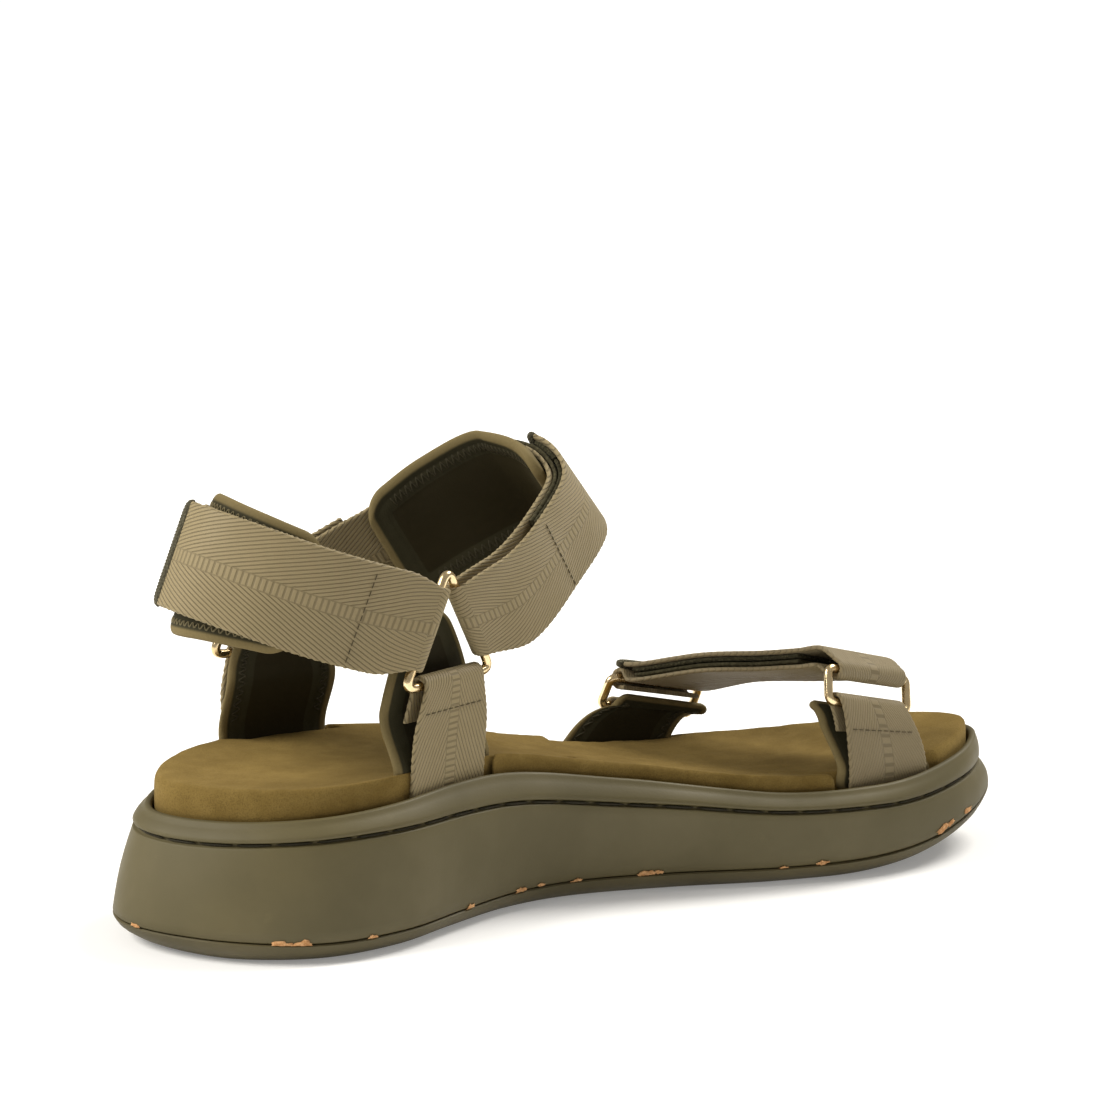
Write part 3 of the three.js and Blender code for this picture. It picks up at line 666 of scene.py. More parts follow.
def slot_depths():
    """How much further in the suede's edge lies where a quarter goes down beside it."""
    depths = np.zeros(len(rim))
    for side, y, half, depth in QUARTER_SLOTS:
        on_side = rim[:, 0] * side > 0
        near = 1 - smooth(np.abs(rim[:, 1] - y), half, half + SLOT_CORNER)
        depths = np.maximum(depths, depth * near * on_side)
    return depths


def make_footbed():
    """The suede, as rings on rays from the middle of the sole.

    A share is measured on a ray, out to where the edge would be without its slots.
    """
    edge = outline(-FOOTBED_INSET, cup_floor)[:, :2]
    rays = edge - SOLE_CENTRE
    lengths = np.linalg.norm(rays, axis=1)
    slotted = 1 - slot_depths() / lengths

    def ring(share, drop=0.0, lean=0.0, hem=False):
        shares = share * slotted - lean / lengths
        flat = SOLE_CENTRE + rays * shares[:, None]
        x, y = flat[:, 0], flat[:, 1]
        floor = cup_floor(x, y) + SUEDE_HEM
        top = footbed_top(x, y, np.clip(shares, 0, 1)) + NAP_LIFT - drop
        return np.column_stack([flat, floor if hem else np.maximum(top, floor + 0.1)])

    rings = [ring(1, lean=1.2, hem=True), ring(1, hem=True)]
    rings += [ring(1, drop, lean) for drop, lean in SUEDE_SHOULDER]
    rings += [ring(share, lean=2.4) for share in np.linspace(0.98, 0.02, 40)]
    obj = loft_rings("footbed_suede", rings, suede)
    nap = bpy.data.textures.new("nap", "CLOUDS")
    nap.noise_scale = 0.006
    reshape(obj, "DISPLACE", texture=nap, strength=0.0005, mid_level=0.5)
    return obj


THREAD_SIDES = 6
THREAD_SECTIONS = 6


def stitches(name, ends, outs, radius, arch, material):
    """Short lengths of thread, each from one point to another and arched along its way out."""
    points, faces = [], []
    for (a, b), out in zip(ends, outs, strict=True):
        faces += tube_faces(THREAD_SECTIONS + 1, THREAD_SIDES, len(points))
        along = unit(b - a)
        first = unit(np.cross(along, out))
        second = np.cross(first, along)
        for t in (i / THREAD_SECTIONS for i in range(THREAD_SECTIONS + 1)):
            middle = mix(a, b, t) + out * arch * math.sin(math.pi * t)
            thick = radius * math.sqrt(max(1 - (2 * t - 1) ** 6, 0.04))
            for k in range(THREAD_SIDES):
                turn = 2 * math.pi * k / THREAD_SIDES
                points.append(middle + thick * (math.cos(turn) * first + math.sin(turn) * second))
    return build(name, points, faces, material)


STITCH_LENGTH = 10       # in steps of the outline
STITCH_SEAT = 1.15       # how deep in the groove the thread lies


def make_sidewall_stitches():
    ends, outs = [], []
    seat = outline(inward(groove_offset, STITCH_SEAT), groove_height)
    for i in range(0, OUTLINE_STEPS - STITCH_LENGTH // 2, STITCH_LENGTH):
        a, b = seat[i], seat[(i + STITCH_LENGTH) % OUTLINE_STEPS]
        ends.append((mix(a, b, 0.05), mix(a, b, 0.95)))
        outs.append(np.append(rim_out[(i + STITCH_LENGTH // 2) % OUTLINE_STEPS], 0))
    return stitches("sidewall_stitches", ends, outs, 0.38, 0.25, dark_thread)


# Stretches of the sole's lower edge where the skin has chipped: (share of the way round, chips, size).
WORN_STRETCHES = (
    (0.01, 1, 3.5), (0.08, 2, 5.5), (0.11, 1, 3.0), (0.17, 1, 2.5), (0.21, 3, 3.2), (0.235, 2, 2.8),
    (0.275, 3, 3.2), (0.34, 1, 2.0), (0.36, 1, 3.0), (0.43, 3, 3.6), (0.45, 1, 3.0),
)
CHIP_SPREAD = 4.5        # millimetres either way along the edge
FORE_EDGE = 0.4          # from here on the chips lie higher, where the sole rises to the toe


def worn_spots():
    """(share, length, height, rise above the seam) of each chip, scattered about its stretch."""
    spots = []
    for share, count, size in WORN_STRETCHES:
        for _ in range(count):
            away = random.uniform(-1, 1) * CHIP_SPREAD * (count > 1)
            length = size * random.uniform(0.7, 1.3)
            rise = random.uniform(0, 0.8) + (1.5 if share > FORE_EDGE else 0)
            height = length * random.uniform(0.35, 0.6)
            spots.append((share + away / (RIM_STEP * OUTLINE_STEPS), length, height, rise))
    return spots


def make_worn_spots(spots):
    """Thin irregular patches where the olive skin has worn off along the seam."""
    points, faces = [], []
    sides = 18
    for share, length, height, rise in spots:
        faces += (np.array(grid_faces(3, sides, wrap_columns=True)) + len(points)).tolist()
        wobble = [1 + 0.35 * random.uniform(-1, 1) for _ in range(sides)]
        for ring in (0.0, 0.5, 1.0):
            for k in range(sides):
                turn = 2 * math.pi * k / sides
                reach = ring * wobble[k]
                along = reach * length / 2 * math.cos(turn)
                up = rise + reach * height / 2 * math.sin(turn)
                points.append(side_point(share * OUTLINE_STEPS + along / RIM_STEP, up))
    obj = build("worn_spots", points, faces, worn_cork)
    reshape(obj, "SOLIDIFY", thickness=0.00012, offset=0)
    return obj


def side_point(step, up):
    """A point on the sole's side wall, up millimetres above the seam between its layers."""
    i = int(math.floor(step)) % OUTLINE_STEPS
    j = (i + 1) % OUTLINE_STEPS
    t = step - math.floor(step)
    x, y = mix(rim[i], rim[j], t)
    out = unit(mix(rim_out[i], rim_out[j], t))
    seam = float(parting_height(y))
    if up >= 0:
        wall = float(groove_height(x, y)) - seam
        bulge = WALL_BULGE * math.sin(math.pi * up / wall)
        offset = mix(parting_offset(y), groove_offset(y), up / wall) + bulge
    else:
        offset = parting_offset(y) - 0.5 - 1.7 * (-up) / (0.58 * seam)
    flat = np.array([x, y]) + out * (offset + 0.1)
    return np.append(flat, seam + up)


# ---- rings
def ring_corners(base, along, up, spots):
    across = unit(np.array(along, float))
    rise = np.array(up, float)
    rise = unit(rise - across * rise.dot(across))
    return [np.array(base, float) + across * s + rise * h for s, h in spots]


TRIANGLE_SIDE = 35.0
HALF = TRIANGLE_SIDE / 2
TRIANGLE = [(-HALF, 0), (HALF, 0), (0, HALF * math.sqrt(3))]
OBLONG_HALF = 15.3
OBLONG_HEIGHT = 9.6
OBLONG = [(-OBLONG_HALF, 0), (OBLONG_HALF, 0), (OBLONG_HALF, OBLONG_HEIGHT), (-OBLONG_HALF, OBLONG_HEIGHT)]
medial_ankle_ring = ring_corners([26.8, 75.7, 68.5], [-0.38, 0.925, 0], [0, 0, 1], TRIANGLE)
lateral_ankle_ring = ring_corners([-37.5, 52, 67], [0, 1, 0], [0, 0, 1], TRIANGLE)
medial_toe_ring = ring_corners([32.8, 206.5, 47.6], [-0.14, 0.96, -0.24], [-0.36, 0.18, 0.92], OBLONG)
lateral_toe_ring = ring_corners([-37.2, 173.5, 35.8], [0.02, 0.98, -0.2], [0.36, 0.1, 0.93], OBLONG)


RING_SIDES = 20
CORNER_STEPS = 10
STRAIGHT_STEPS = 13


def make_ring(name, corners, corner_radius):
    """Round wire through the corners, each rounded by a curve."""
    path = []
    for i, corner in enumerate(corners):
        following = corners[(i + 1) % len(corners)]
        back, ahead = unit(corners[i - 1] - corner), unit(following - corner)
        reach = corner_radius / math.tan(math.acos(back.dot(ahead)) / 2)
        a, b, c = corner + back * reach, corner + ahead * reach, following - ahead * reach
        for t in np.linspace(0, 1, CORNER_STEPS + 1):
            path.append((1 - t) ** 2 * a + 2 * t * (1 - t) * corner + t * t * b)
        path += [mix(b, c, t) for t in np.linspace(0, 1, STRAIGHT_STEPS + 1)[1:-1]]
    normal = unit(np.cross(corners[1] - corners[0], corners[2] - corners[0]))
    points = []
    for i, place in enumerate(path):
        outward = np.cross(unit(path[(i + 1) % len(path)] - path[i - 1]), normal)
        for k in range(RING_SIDES):
            turn = 2 * math.pi * k / RING_SIDES
            points.append(place + WIRE / 2 * (normal * math.cos(turn) + outward * math.sin(turn)))
    faces = grid_faces(len(path), RING_SIDES, wrap_rows=True, wrap_columns=True)
    return build(name, points, faces, gold)


# ---- strap tracks
class Track:
    """The centre line of a strap's outer face. A station's place and its direction across the strap
    are given, or a ring's bar that the face passes at a depth."""

    def __init__(self, stations, heart):
        self.heart = np.array(heart, float)
        self.last = len(stations) - 1
        places = [np.array(s.get("at", s.get("middle")), float) for s in stations]
        leans = [np.array(s["across"], float) for s in stations]
        self.turns = spline(leans, centripetal=False)
        self.middles = spline(places)
        for _ in range(20):
            for i, s in enumerate(stations):
                if "middle" in s:
                    goal = s["middle"] + self(i)[3] * s.get("depth", BAR_DEPTH)
                    places[i] = mix(places[i], goal, 0.5)
                    self.middles = spline(places)

    def __call__(self, station):
        t = station / self.last
        middle = self.middles(t)
        low, high = max(t - 1e-4, 0), min(t + 1e-4, 1)
        along = unit(self.middles(high) - self.middles(low))
        across = unit(self.turns(t))
        out = unit(np.cross(along, across))
        if out.dot(middle - self.heart) < 0:
            out = -out
        return middle, along, across, out


def bar(corners, a, b, **more):
    return {"middle": (corners[a] + corners[b]) / 2, "across": unit(corners[b] - corners[a]), **more}


def at(place, across):
    return {"at": place, "across": across}


heel_track = Track([
    bar(medial_ankle_ring, 0, 2),
    at([31, 55, 87.4], [-0.06, 0.42, 0.9]), at([27.5, 38, 93], [0, 0.366, 0.931]),
    at([19, 22.5, 99.1], [0, 0.366, 0.931]), at([6, 12.5, 103], [0, 0.366, 0.931]),
    at([-7, 10.8, 103.6], [0, 0.366, 0.931]), at([-18.5, 16.2, 101.4], [0, 0.366, 0.931]),
    at([-30, 25, 96], [0.02, 0.4, 0.91]), at([-38, 34, 88.5], [0.02, 0.46, 0.88]),
    bar(lateral_ankle_ring, 0, 2),
], [-2, 42, 85])
instep_track = Track([
    bar(medial_ankle_ring, 1, 2),
    at([21.2, 101, 87], [0.24, -0.49, 0.84]), at([13.5, 117.5, 97.5], [0.32, -0.55, 0.78]),
    at([3.8, 131, 109.2], [0.28, -0.62, 0.72]), at([-9.2, 131.8, 115], [0.14, -0.62, 0.77]),
    at([-23, 124.6, 114.6], [-0.03, -0.6, 0.8]), at([-31, 106, 104], [-0.15, -0.52, 0.84]),
    at([-37, 87, 92], [-0.08, -0.5, 0.86]),
    bar(lateral_ankle_ring, 1, 2),
], [-8, 85, 85])
toe_track = Track([
    bar(medial_toe_ring, 3, 2),
    at([23.8, 207.7, 61.7], [-0.17, 0.95, -0.26]), at([16.5, 203.8, 60], [-0.2, 0.94, -0.27]),
    at([5, 198, 57.8], [-0.28, 0.92, -0.27]), at([-12.6, 187.8, 55], [-0.33, 0.905, -0.27]),
    at([-29.9, 178, 49.8], [-0.1, 0.96, -0.23]),
    bar(lateral_toe_ring, 3, 2, depth=UNDER_BAR_DEPTH),
], [0, 185, 10])
medial_ankle_track = Track([
    at([28.4, 74.5, 31], [-0.36, 0.933, 0]), at([28.8, 75.5, 50], [-0.36, 0.933, 0]),
    bar(medial_ankle_ring, 0, 1), at([29.7, 76.8, 90], [-0.38, 0.925, 0]),
], [0, 70, 60])
lateral_ankle_track = Track([
    at([-34.8, 50, 31], [-0.11, 0.994, 0]), at([-37.2, 51, 50], [-0.05, 1, 0]),
    bar(lateral_ankle_ring, 0, 1), at([-41, 52, 88], [0, 1, 0]),
], [0, 50, 60])
medial_toe_track = Track([
    at([37.2, 211, 21], [-0.1, 0.99, 0]), at([37.9, 210.5, 33], [-0.1, 0.99, -0.1]),
    bar(medial_toe_ring, 0, 1), at([24, 203, 62], [-0.17, 0.95, -0.26]),
], [0, 205, 15])
lateral_toe_track = Track([
    at([-32.7, 158, 19.4], [0, 1, 0]), at([-34.4, 163, 27], [0, 1, -0.05]),
    bar(lateral_toe_ring, 0, 1), at([-38.5, 175, 52], [0.1, 0.97, -0.22]),
], [0, 170, 5])


# ---- webbing
ROW_STEP = 0.8
COLUMN_STEP = 0.36


def stations(track, start, stop, step=ROW_STEP):
    """Stations about a step apart in millimetres."""
    fine = np.linspace(start, stop, 60)
    run = run_of([track(s)[0] for s in fine])
    count = max(int(round(run[-1] / step)), 3)
    return np.interp(np.linspace(0, run[-1], count + 1), run, fine)


def flat_rows(track, start, stop, depth, width, side=1):
    """Rows of a strip's outer face: its middle, the direction across, the way out and its half width."""
    rows = []
    for s in stations(track, start, stop):
        middle, along, across, out = track(s)
        rows.append((middle - out * at_station(depth, s), across, out * side, at_station(width, s) / 2))
    return rows


TURN_STEPS = 14


def turn_rows(track, station, bar_depth, radius, width, side=1, way=1):
    """Rows of the half turn round a ring's bar. way is 1 for the end of a track and -1 for its start."""
    middle, along, across, out = track(station)
    centre = middle - out * bar_depth
    rows = []
    for turn in np.linspace(0, math.pi, TURN_STEPS + 1):
        normal = out * side * math.cos(turn) + along * way * math.sin(turn)
        rows.append((centre + normal * radius, across, normal, width / 2))
    return rows


EDGE_ROUNDING = 0.7      # how far in a strip's edge starts to thin
TOOTH_PITCH = 1.3        # of the serrated selvedge


def weave_relief(u, v):
    """Height of the weave, from 0 to 1, u millimetres along a strip and v across it."""
    twill = 0.5 + 0.5 * np.cos(2 * math.pi * ((u + np.abs(v) * TWILL_SLOPE) / TWILL_PITCH - 0.5))
    rungs = 0.5 + 0.5 * np.cos(2 * math.pi * (u / LADDER_PITCH - 0.5))
    return np.where(np.abs(v) < LADDER_HALF, 0.35 + rungs, twill)


def strip(name, rows, material, start=0.0, thickness=WEBBING, relief=0.05, selvedge=0.16):
    """A woven strip through rows, with a fine relief, rounded edges and a serrated selvedge."""
    full_half = rows[len(rows) // 2][3]
    columns = int(full_half * 2 / COLUMN_STEP)
    shares = np.linspace(-1, 1, columns + 1)
    run = start + run_of([row[0] for row in rows])
    points, uv = [], []
    for (middle, across, out, half), u in zip(rows, run, strict=True):
        v, full = shares * half, shares * full_half
        round_off = np.clip((np.abs(v) - (half - EDGE_ROUNDING)) / EDGE_ROUNDING, 0, 1)
        thick = thickness / 2 * np.sqrt(1 - 0.8 * round_off ** 2)
        height = relief * weave_relief(u, full) * (1 - round_off)
        teeth = selvedge * np.sin(2 * math.pi * u / TOOTH_PITCH) * np.sign(v) * (round_off > 0.4)
        core = middle - out * thickness / 2 + (v + teeth)[:, None] * across
        rise = out * (thick + height - relief)[:, None]
        points.append(np.vstack([core + rise, (core - rise)[::-1]]))
        uv.append(np.column_stack([np.full(2 * len(v), u), np.concatenate([full, full[::-1]])]))
    per_row = len(points[0])
    faces = grid_faces(len(rows), per_row, wrap_columns=True)
    for base, flip in ((0, 1), ((len(rows) - 1) * per_row, -1)):
        for k in range(columns):
            faces.append([base + k, base + k + 1, base + per_row - 2 - k, base + per_row - 1 - k][::flip])
    return build(name, np.vstack(points), faces, material, uv=np.vstack(uv), crisp=70), run[-1]


def make_tape(name, track, first, last, depth, width, material):
    """A patch of hook or loop tape along a strap."""
    rows = flat_rows(track, first, last, depth, width)
    return strip(name, rows, material, 0, PATCH, 0.02, 0.05)[0]


SEAM_SPACING = 2.3


def seam_across(name, track, station, width):
    """A row of stitches across a strip's outer face."""
    middle, along, across, out = track(station)
    ends = []
    for k in range(int(width / SEAM_SPACING)):
        a = -width / 2 + (k + 0.1) * SEAM_SPACING
        base = middle + out * 0.05
        ends.append((base + across * a, base + across * (a + SEAM_SPACING * 0.8)))
    return stitches(name, ends, [out] * len(ends), 0.16, 0.08, seam_thread)


# ---- padded pieces
PAD_COLUMNS = 44
ROW_ENDS = np.array([0.15, 0.4, 0.7])    # extra rows near both ends let the rolled ends look round


def pad(name, track, start, stop, width, top, thickness, roll=2.4, corner=7.0, shift=0.0, channel=7.4):
    """A neoprene piece with a rolled edge and a stitched channel round a slightly crowned panel."""
    where = stations(track, start, stop, 1.0)
    run = run_of([track(s)[0] for s in where])
    stops = np.interp(np.sort(np.concatenate([run, ROW_ENDS, run[-1] - ROW_ENDS])), run, where)
    shares = np.sin(np.linspace(-math.pi / 2, math.pi / 2, PAD_COLUMNS + 1) * 0.999)
    shares = shares / shares[-1]
    shares = np.sign(shares) * np.abs(shares) ** 0.9
    outer, inner, edges = [], [], []
    for s in stops:
        middle, along, across, out = track(s)
        length = float(np.interp(s, where, run))
        to_end = min(length, run[-1] - length)
        rounding = math.sqrt(max(corner ** 2 - (corner - min(to_end, corner)) ** 2, 0.01))
        half = at_station(width, s) / 2 - corner + rounding
        v = shares * half
        edge = np.minimum(half - np.abs(v), to_end)
        bulge = np.sqrt(np.clip(1 - (1 - np.clip(edge / roll, 0, 1)) ** 2, 0, 1))
        dip = 0.3 * np.exp(-((edge - roll - 0.7) / 0.5) ** 2)
        dip += 0.22 * np.exp(-((edge - channel) / 0.5) ** 2)
        crown = 0.9 + 0.1 * smooth(edge, channel, channel + 6)
        core = middle + across * at_station(shift, s) - out * (at_station(top, s) + thickness / 2)
        core = core + v[:, None] * across
        rise = thickness / 2 * bulge
        outer.append(core + out * (rise - dip * thickness / 6)[:, None])
        inner.append(core - out * (rise * crown * (1 - dip))[:, None])
        edges.append(edge)
    faces = grid_faces(len(outer), PAD_COLUMNS + 1)
    faces += (np.array(faces)[:, ::-1] + len(outer) * (PAD_COLUMNS + 1)).tolist()
    edge = np.concatenate(edges + edges)
    return build(name, np.vstack(outer + inner), faces, neoprene, weld=True, edge=edge)


def zigzag(name, track, start, stop, width, depth, inset, reach, pitch, shift, face, material):
    """Overlock stitches along both edges of a pad. face is 1 for its outer face and -1 for its inner."""
    ends, outs = [], []
    where = stations(track, start, stop, pitch / 2)
    for side in (-1, 1):
        spots = []
        for j, s in enumerate(where):
            middle, along, across, out = track(s)
            lateral = side * (at_station(width, s) / 2 - inset - (reach if j % 2 else 0))
            offset = lateral + at_station(shift, s)
            spots.append((middle + across * offset - out * at_station(depth, s), out * face))
        for (a, _), (b, out) in zip(spots, spots[1:]):
            ends.append((a, b))
            outs.append(out)
    return stitches(name, ends, outs, 0.22, 0.15, material)


# ---- the sole
keep(make_midsole(), "sandal", "sole", "midsole")
keep(make_outsole(), "sandal", "sole", "outsole")
keep(make_footbed(), "sandal", "suede", "footbed_cover")
keep(make_sidewall_stitches(), "sandal", "thread", "sidewall_thread")
keep(make_worn_spots(worn_spots()), "sandal", "sole")

# ---- rings and quarters
for ring_name, ring_shape, radius in (
    ("medial_ankle_ring", medial_ankle_ring, 2.4), ("lateral_ankle_ring", lateral_ankle_ring, 2.4),
    ("medial_toe_ring", medial_toe_ring, 2.2), ("lateral_toe_ring", lateral_toe_ring, 2.2),
):
    keep(make_ring(ring_name + "_wire", ring_shape, radius), "sandal", "ring", ring_name)

LOOP_START = 0.12
LOOP_TAIL = 0.55
ankle_loop_width = profile([(0, STRAP_WIDTH), (1.2, STRAP_WIDTH), (2, BAR_WIDTH)])
toe_loop_width = profile([(0, TOE_STRAP_WIDTH), (1, TOE_STRAP_WIDTH), (2, TOE_BAR_WIDTH)])


LOOPS = (
    ("medial_ankle", medial_ankle_track, ankle_loop_width, webbing, 1.62),
    ("lateral_ankle", lateral_ankle_track, ankle_loop_width, webbing, 1.62),
    ("medial_toe", medial_toe_track, toe_loop_width, toe_webbing, 1.5),
    ("lateral_toe", lateral_toe_track, toe_loop_width, toe_webbing, 1.55),
)
# (name, track, widths, last station, depth at the ring, sideways shifts)
LININGS = (
    ("medial_ankle", medial_ankle_track, [(0, 38), (1.9, 33), (2.45, 24), (2.85, 14)], 2.85, 9.6, None),
    ("lateral_ankle", lateral_ankle_track, [(0, 33), (1.9, 31), (2.45, 22), (2.85, 14)], 2.85, 9.6, None),
    ("medial_toe", medial_toe_track, [(0, 37), (1.2, 31), (2, 29), (2.35, 31)], 2.35, 9.2, None),
    ("lateral_toe", lateral_toe_track, [(0, 44), (1.2, 36), (2, 31), (2.4, 33)], 2.4, 6.6,
     [(0, -6), (1, -3.5), (1.7, -0.5), (2.4, 3.6)]),
)


def make_loop(name, track, width, material, seam):
    """Webbing up from the sole, round a ring's bottom bar and sewn back on its inner side."""
    rows = flat_rows(track, LOOP_START, 2, 0, width)
    rows += turn_rows(track, 2, BAR_DEPTH, BAR_DEPTH, width(2))[1:]
    rows += flat_rows(track, 2 - LOOP_TAIL, 2, 2 * BAR_DEPTH, width, -1)[::-1][1:]
    keep(strip(name + "_webbing", rows, material)[0], "sandal", "webbing", name)
    keep(seam_across(name + "_seam", track, seam, width(seam) - 3), "sandal", "thread")


def make_lining(name, track, widths, stop, behind, shifts):
    """Neoprene behind a loop, further in where it passes behind the ring."""
    width, shift = profile(widths), profile(shifts) if shifts else 0.0
    depth = lambda s: mix(WEBBING + GAP, behind, float(smooth(s, 0.7, 1.6)))
    obj = pad(name + "_panel", track, LOOP_START + 0.06, stop, width, depth, LINING, 1.7, 5.0, shift, 5.2)
    keep(obj, "sandal", "neoprene", name)
    under = lambda s: depth(s) + LINING - 0.1
    rows = zigzag(
        name + "_stitching", track, 0.9, stop - 0.25, width, under, 2.9, 2.2, 2.2, shift, -1, border_thread,
    )
    keep(rows, "sandal", "thread")


for quarter, *facts in LOOPS:
    make_loop(quarter + "_loop", *facts)
for quarter, *facts in LININGS:
    make_lining(quarter + "_lining", *facts)

# ---- straps
BEND_REACH = 0.28        # stations on each side of the place where a free end is split


FOLD_BLEND = (4.4, 1.6)  # depths inside the outer face of the two points given for the fold


def bend(obj, start, stop):
    """Webbing between two bodies, its transform baked into its mesh."""
    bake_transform(obj)


def make_fold(name, track, width, material):
    """The half turn of webbing between a free end and the fixed strap, round the medial ring."""
    rows = turn_rows(track, 0, BAR_DEPTH, BAR_DEPTH, width, 1, -1)
    middle, along, across, out = track(0)
    inner, outer = (middle - out * depth for depth in FOLD_BLEND)
    bend(strip(name + "_fold", rows, material)[0], inner, outer)


def make_free_end(name, track, spec, widths, material):
    """The free end, its hook tape and its bound tip."""
    flap, tip_body = name + "_flap", name + "_flap_tip"
    split, tip, first, hooks_end = spec.get("split"), spec["tip"], spec["patch"][0], spec["hooks_end"]
    if split is None:
        tip_body = flap
        parts = [("_free_end_webbing", 0, tip, flap, "_free_end")]
        hooks = [("", first, hooks_end, flap, "_free_end_hooks")]
    else:
        bend_start, bend_stop = split - BEND_REACH, split + BEND_REACH
        parts = [
            ("_free_end_webbing", 0, bend_start, flap, "_free_end"),
            ("_bend_webbing", bend_start, bend_stop, None, None),
            ("_free_tip_webbing", bend_stop, tip, tip_body, "_free_tip"),
        ]
        hooks = [
            ("", first, split - 0.03, flap, "_free_end_hooks"),
            ("_tip", split + 0.03, hooks_end, tip_body, "_free_tip_hooks"),
        ]
    run = 0.0
    for suffix, a, b, body, node in parts:
        obj, run = strip(name + suffix, flat_rows(track, a, b, 0, widths), material, run)
        if body:
            keep(obj, body, "webbing", name + node)
        else:
            bend(obj, track(a)[0], track(b)[0])
    for suffix, a, b, body, node in hooks:
        hook = make_tape(
            name + suffix + "_hook_tape", track, a, b, HOOK_TOP - 0.1, spec["patch_width"], hooks_tape,
        )
        keep(hook, body, "hook_and_loop", name + node)
    keep(seam_across(name + "_hook_seam", track, first + 0.06, spec["patch_width"] - 1), flap, "thread")
    binding = make_binding(name + "_tip_roll", track, tip, spec["width"] + 1.0)
    keep(binding, tip_body, "binding", name + "_tip_binding")


BINDING_REACH = 3.6
BINDING_RIB = 0.9
BINDING_SIDES = 20
BINDING_HALF = 1.35      # half its thickness
BINDING_AHEAD = 1.3      # from the strap's tip to the middle of the binding
BINDING_SQUARENESS = 0.75


def squared(value):
    """A sine or cosine drawn out, so that a round section gets flatter faces."""
    return math.copysign(abs(value) ** BINDING_SQUARENESS, value)


def make_binding(name, track, tip, width):
    """Ribbed tape folded over the end of a strap, straight on from the tip."""
    middle, along, across, out = track(tip)
    core = middle - out * WEBBING / 2
    columns = int(width / (BINDING_RIB / 4))
    points = []
    for v in np.linspace(-width / 2, width / 2, columns + 1):
        rib = 0.09 * math.cos(2 * math.pi * v / BINDING_RIB)
        ends = math.sqrt(max(1 - (abs(v) / (width / 2)) ** 12, 0.02))
        for k in range(BINDING_SIDES):
            turn = 2 * math.pi * k / BINDING_SIDES
            length = (BINDING_REACH / 2 + rib) * squared(math.cos(turn)) + BINDING_AHEAD
            thick = (BINDING_HALF + rib) * squared(math.sin(turn))
            points.append(core + across * v + (along * length + out * thick) * ends)
    return build(name, points, tube_faces(columns + 1, BINDING_SIDES), binding_tape)


def make_cushion(name, track, spec):
    """The neoprene pad under a strap and its rows of stitches."""
    a, b = spec["pad"]
    widths, shift = profile(spec["pad_widths"]), profile(spec["pad_shift"])
    cushion = pad(name + "_pad", track, a, b, widths, PAD_TOP, PAD, 2.8, 9.0, shift)
    keep(cushion, "sandal", "neoprene", name + "_strap_pad")
    under = (PAD_TOP + PAD - 0.2, 3.6, 3.2, 2.0, shift, -1, border_thread)
    over = (PAD_TOP + 0.15, 2.6, 1.9, 2.4, shift, 1, olive_thread)
    for suffix, margin, facts in (("_pad_stitching", 0.4, under), ("_pad_edge_stitching", 0.5, over)):
        keep(zigzag(name + suffix, track, a + margin, b - margin, widths, *facts), "sandal", "thread")


def make_strap(name, track, spec, material):
    """A strap: its fixed length with the tail behind the lateral ring, its patch, free end and pad."""
    last, width, bar_width = track.last, spec["width"], spec["bar_width"]
    widths = profile([(0, bar_width), (0.9, width), (last - 0.9, width), (last, bar_width)])
    face, bar_depth = spec["face"], spec["bar_depth"]
    ring_depth = at_station(face, last)
    side = -1 if ring_depth > bar_depth else 1
    rows = flat_rows(track, 0, last, face, widths, side)
    rows += turn_rows(track, last, bar_depth, abs(bar_depth - ring_depth), bar_width, side)[1:]
    tail_depth = 2 * bar_depth - ring_depth
    rows += flat_rows(track, last - spec["tail"], last, tail_depth, widths, -side)[::-1][1:]
    keep(strip(name + "_strap", rows, material)[0], "sandal", "webbing", name + "_strap_webbing")
    make_fold(name, track, bar_width, material)
    patch = make_tape(name + "_loop_tape", track, *spec["patch"], LOOP_TOP, spec["patch_width"], loop_tape)
    keep(patch, "sandal", "hook_and_loop", name + "_loop_patch")
    make_free_end(name, track, spec, widths, material)
    if "pad" in spec:
        make_cushion(name, track, spec)


def toe_face(station):
    """Depth of the toe strap's fixed length, which humps near the medial ring and rises to the lateral."""
    hump = 0.5 * math.exp(-((station - 1) ** 2))
    return BASE_TOP + hump - (BASE_TOP - RAISED_TOP) * float(smooth(station, 5.2, 5.8))


ankle_facts = {
    "width": STRAP_WIDTH, "bar_width": BAR_WIDTH, "patch_width": PATCH_WIDTH,
    "face": BASE_BOTTOM, "tail": 0.8, "bar_depth": BAR_DEPTH,
}
make_strap("heel", heel_track, {
    "split": 2.6, "tip": 4.85, "pad": (2.05, 8), "patch": (1.3, 7), "hooks_end": 4.75,
    "pad_widths": [(2.05, 33), (5, 39.5), (8, 34)], "pad_shift": [(2, 0), (5, -1), (8, 0)], **ankle_facts,
}, webbing)
make_strap("instep", instep_track, {
    "split": 3.4, "tip": 4.2, "pad": (3.1, 7), "patch": (1.9, 6.6), "hooks_end": 4.1,
    "pad_widths": [(3.1, 38), (4.3, 39), (7, 35.5)], "pad_shift": [(3, 0.6), (7, 0)], **ankle_facts,
}, webbing)
make_strap("toe", toe_track, {
    "tip": 5.7, "patch": (2, 5), "hooks_end": 5.1,
    "width": TOE_STRAP_WIDTH, "bar_width": TOE_BAR_WIDTH, "patch_width": TOE_PATCH_WIDTH,
    "face": toe_face, "tail": 0.6, "bar_depth": UNDER_BAR_DEPTH,
}, toe_webbing)

# ---- floor, light and camera
FLOOR_SIZE = 80.0


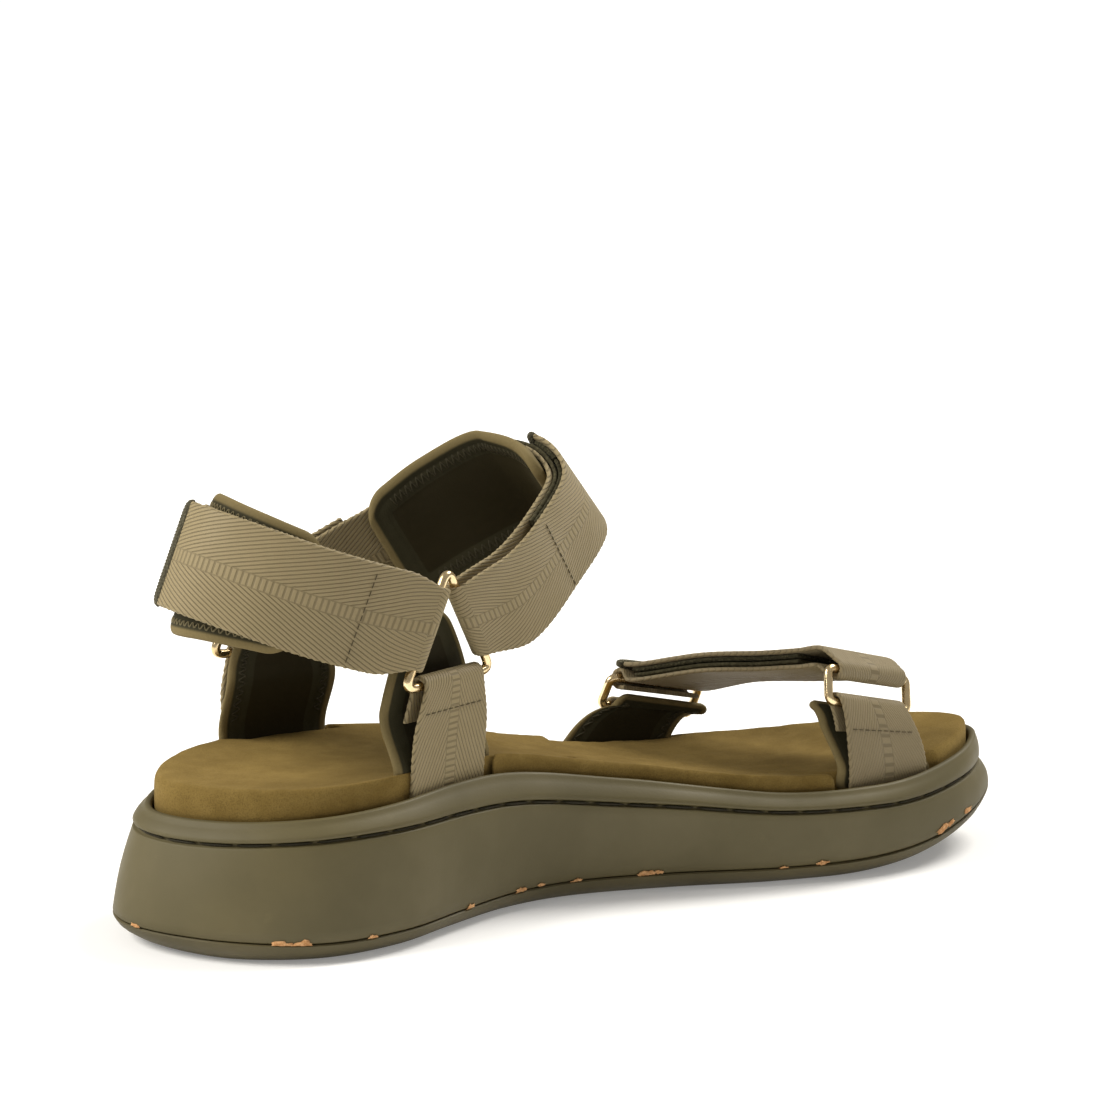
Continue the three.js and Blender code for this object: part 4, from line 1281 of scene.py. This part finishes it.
def floor_material():
    """White studio paper, evenly lit far from the object."""
    s = Shader("pale_floor", (0.82, 0.82, 0.82), 0.9, Emission_Color=(1, 1, 1, 1))
    distance = s.node("ShaderNodeVectorMath", {0: s.place()}, output=1, operation="LENGTH")
    s.put(s.shader.inputs["Emission Strength"], s.step(distance, 0.15, 1.6, 0.2, 0.8))
    return s.material


def make_floor():
    half = FLOOR_SIZE / 2
    mesh = bpy.data.meshes.new("floor")
    corners = [(x * half, y * half, 0) for x, y in ((-1, -1), (1, -1), (1, 1), (-1, 1))]
    mesh.from_pydata(corners, [], [(0, 1, 2, 3)])
    mesh.materials.append(floor_material())
    add("floor", mesh)


def make_light(name, place, target, size, power):
    data = bpy.data.lights.new(name, "AREA")
    data.shape = "DISK"
    data.size = size
    data.energy = power
    data.color = (1, 0.97, 0.91)
    light = add(name, data)
    light.location = place
    light.rotation_euler = (Vector(target) - Vector(place)).to_track_quat("-Z", "Y").to_euler()


AZIMUTH = math.radians(61.55)
ELEVATION = math.radians(10.83)
CAMERA_PLACE = (np.array([851.9, -340.3, 280.5]) - ORIGIN) / 1000
LENS = 115.78


def make_camera():
    a, e = AZIMUTH, ELEVATION
    back = Vector((math.sin(a) * math.cos(e), -math.cos(a) * math.cos(e), math.sin(e)))
    right = Vector((math.cos(a), math.sin(a), 0))
    up = back.cross(right)
    data = bpy.data.cameras.new("camera")
    data.lens = LENS
    data.sensor_width = 36.0
    data.clip_start = 0.02
    camera = add("camera", data)
    camera.matrix_world = Matrix((
        (right.x, up.x, back.x, CAMERA_PLACE[0]),
        (right.y, up.y, back.y, CAMERA_PLACE[1]),
        (right.z, up.z, back.z, CAMERA_PLACE[2]),
        (0, 0, 0, 1),
    ))
    bpy.context.scene.camera = camera


make_floor()
make_light("key", (-0.25, -1.35, 1.1), (0, 0, 0.05), 0.9, 33)
make_light("top", (-0.05, 1.0, 1.35), (0, 0.08, 0), 0.9, 27)
world = bpy.data.worlds.new("studio")
world.use_nodes = True
world.node_tree.nodes["Background"].inputs[0].default_value = (1, 0.97, 0.92, 1)
world.node_tree.nodes["Background"].inputs[1].default_value = 0.33
bpy.context.scene.world = world
bpy.context.scene.view_settings.view_transform = "Standard"
make_camera()
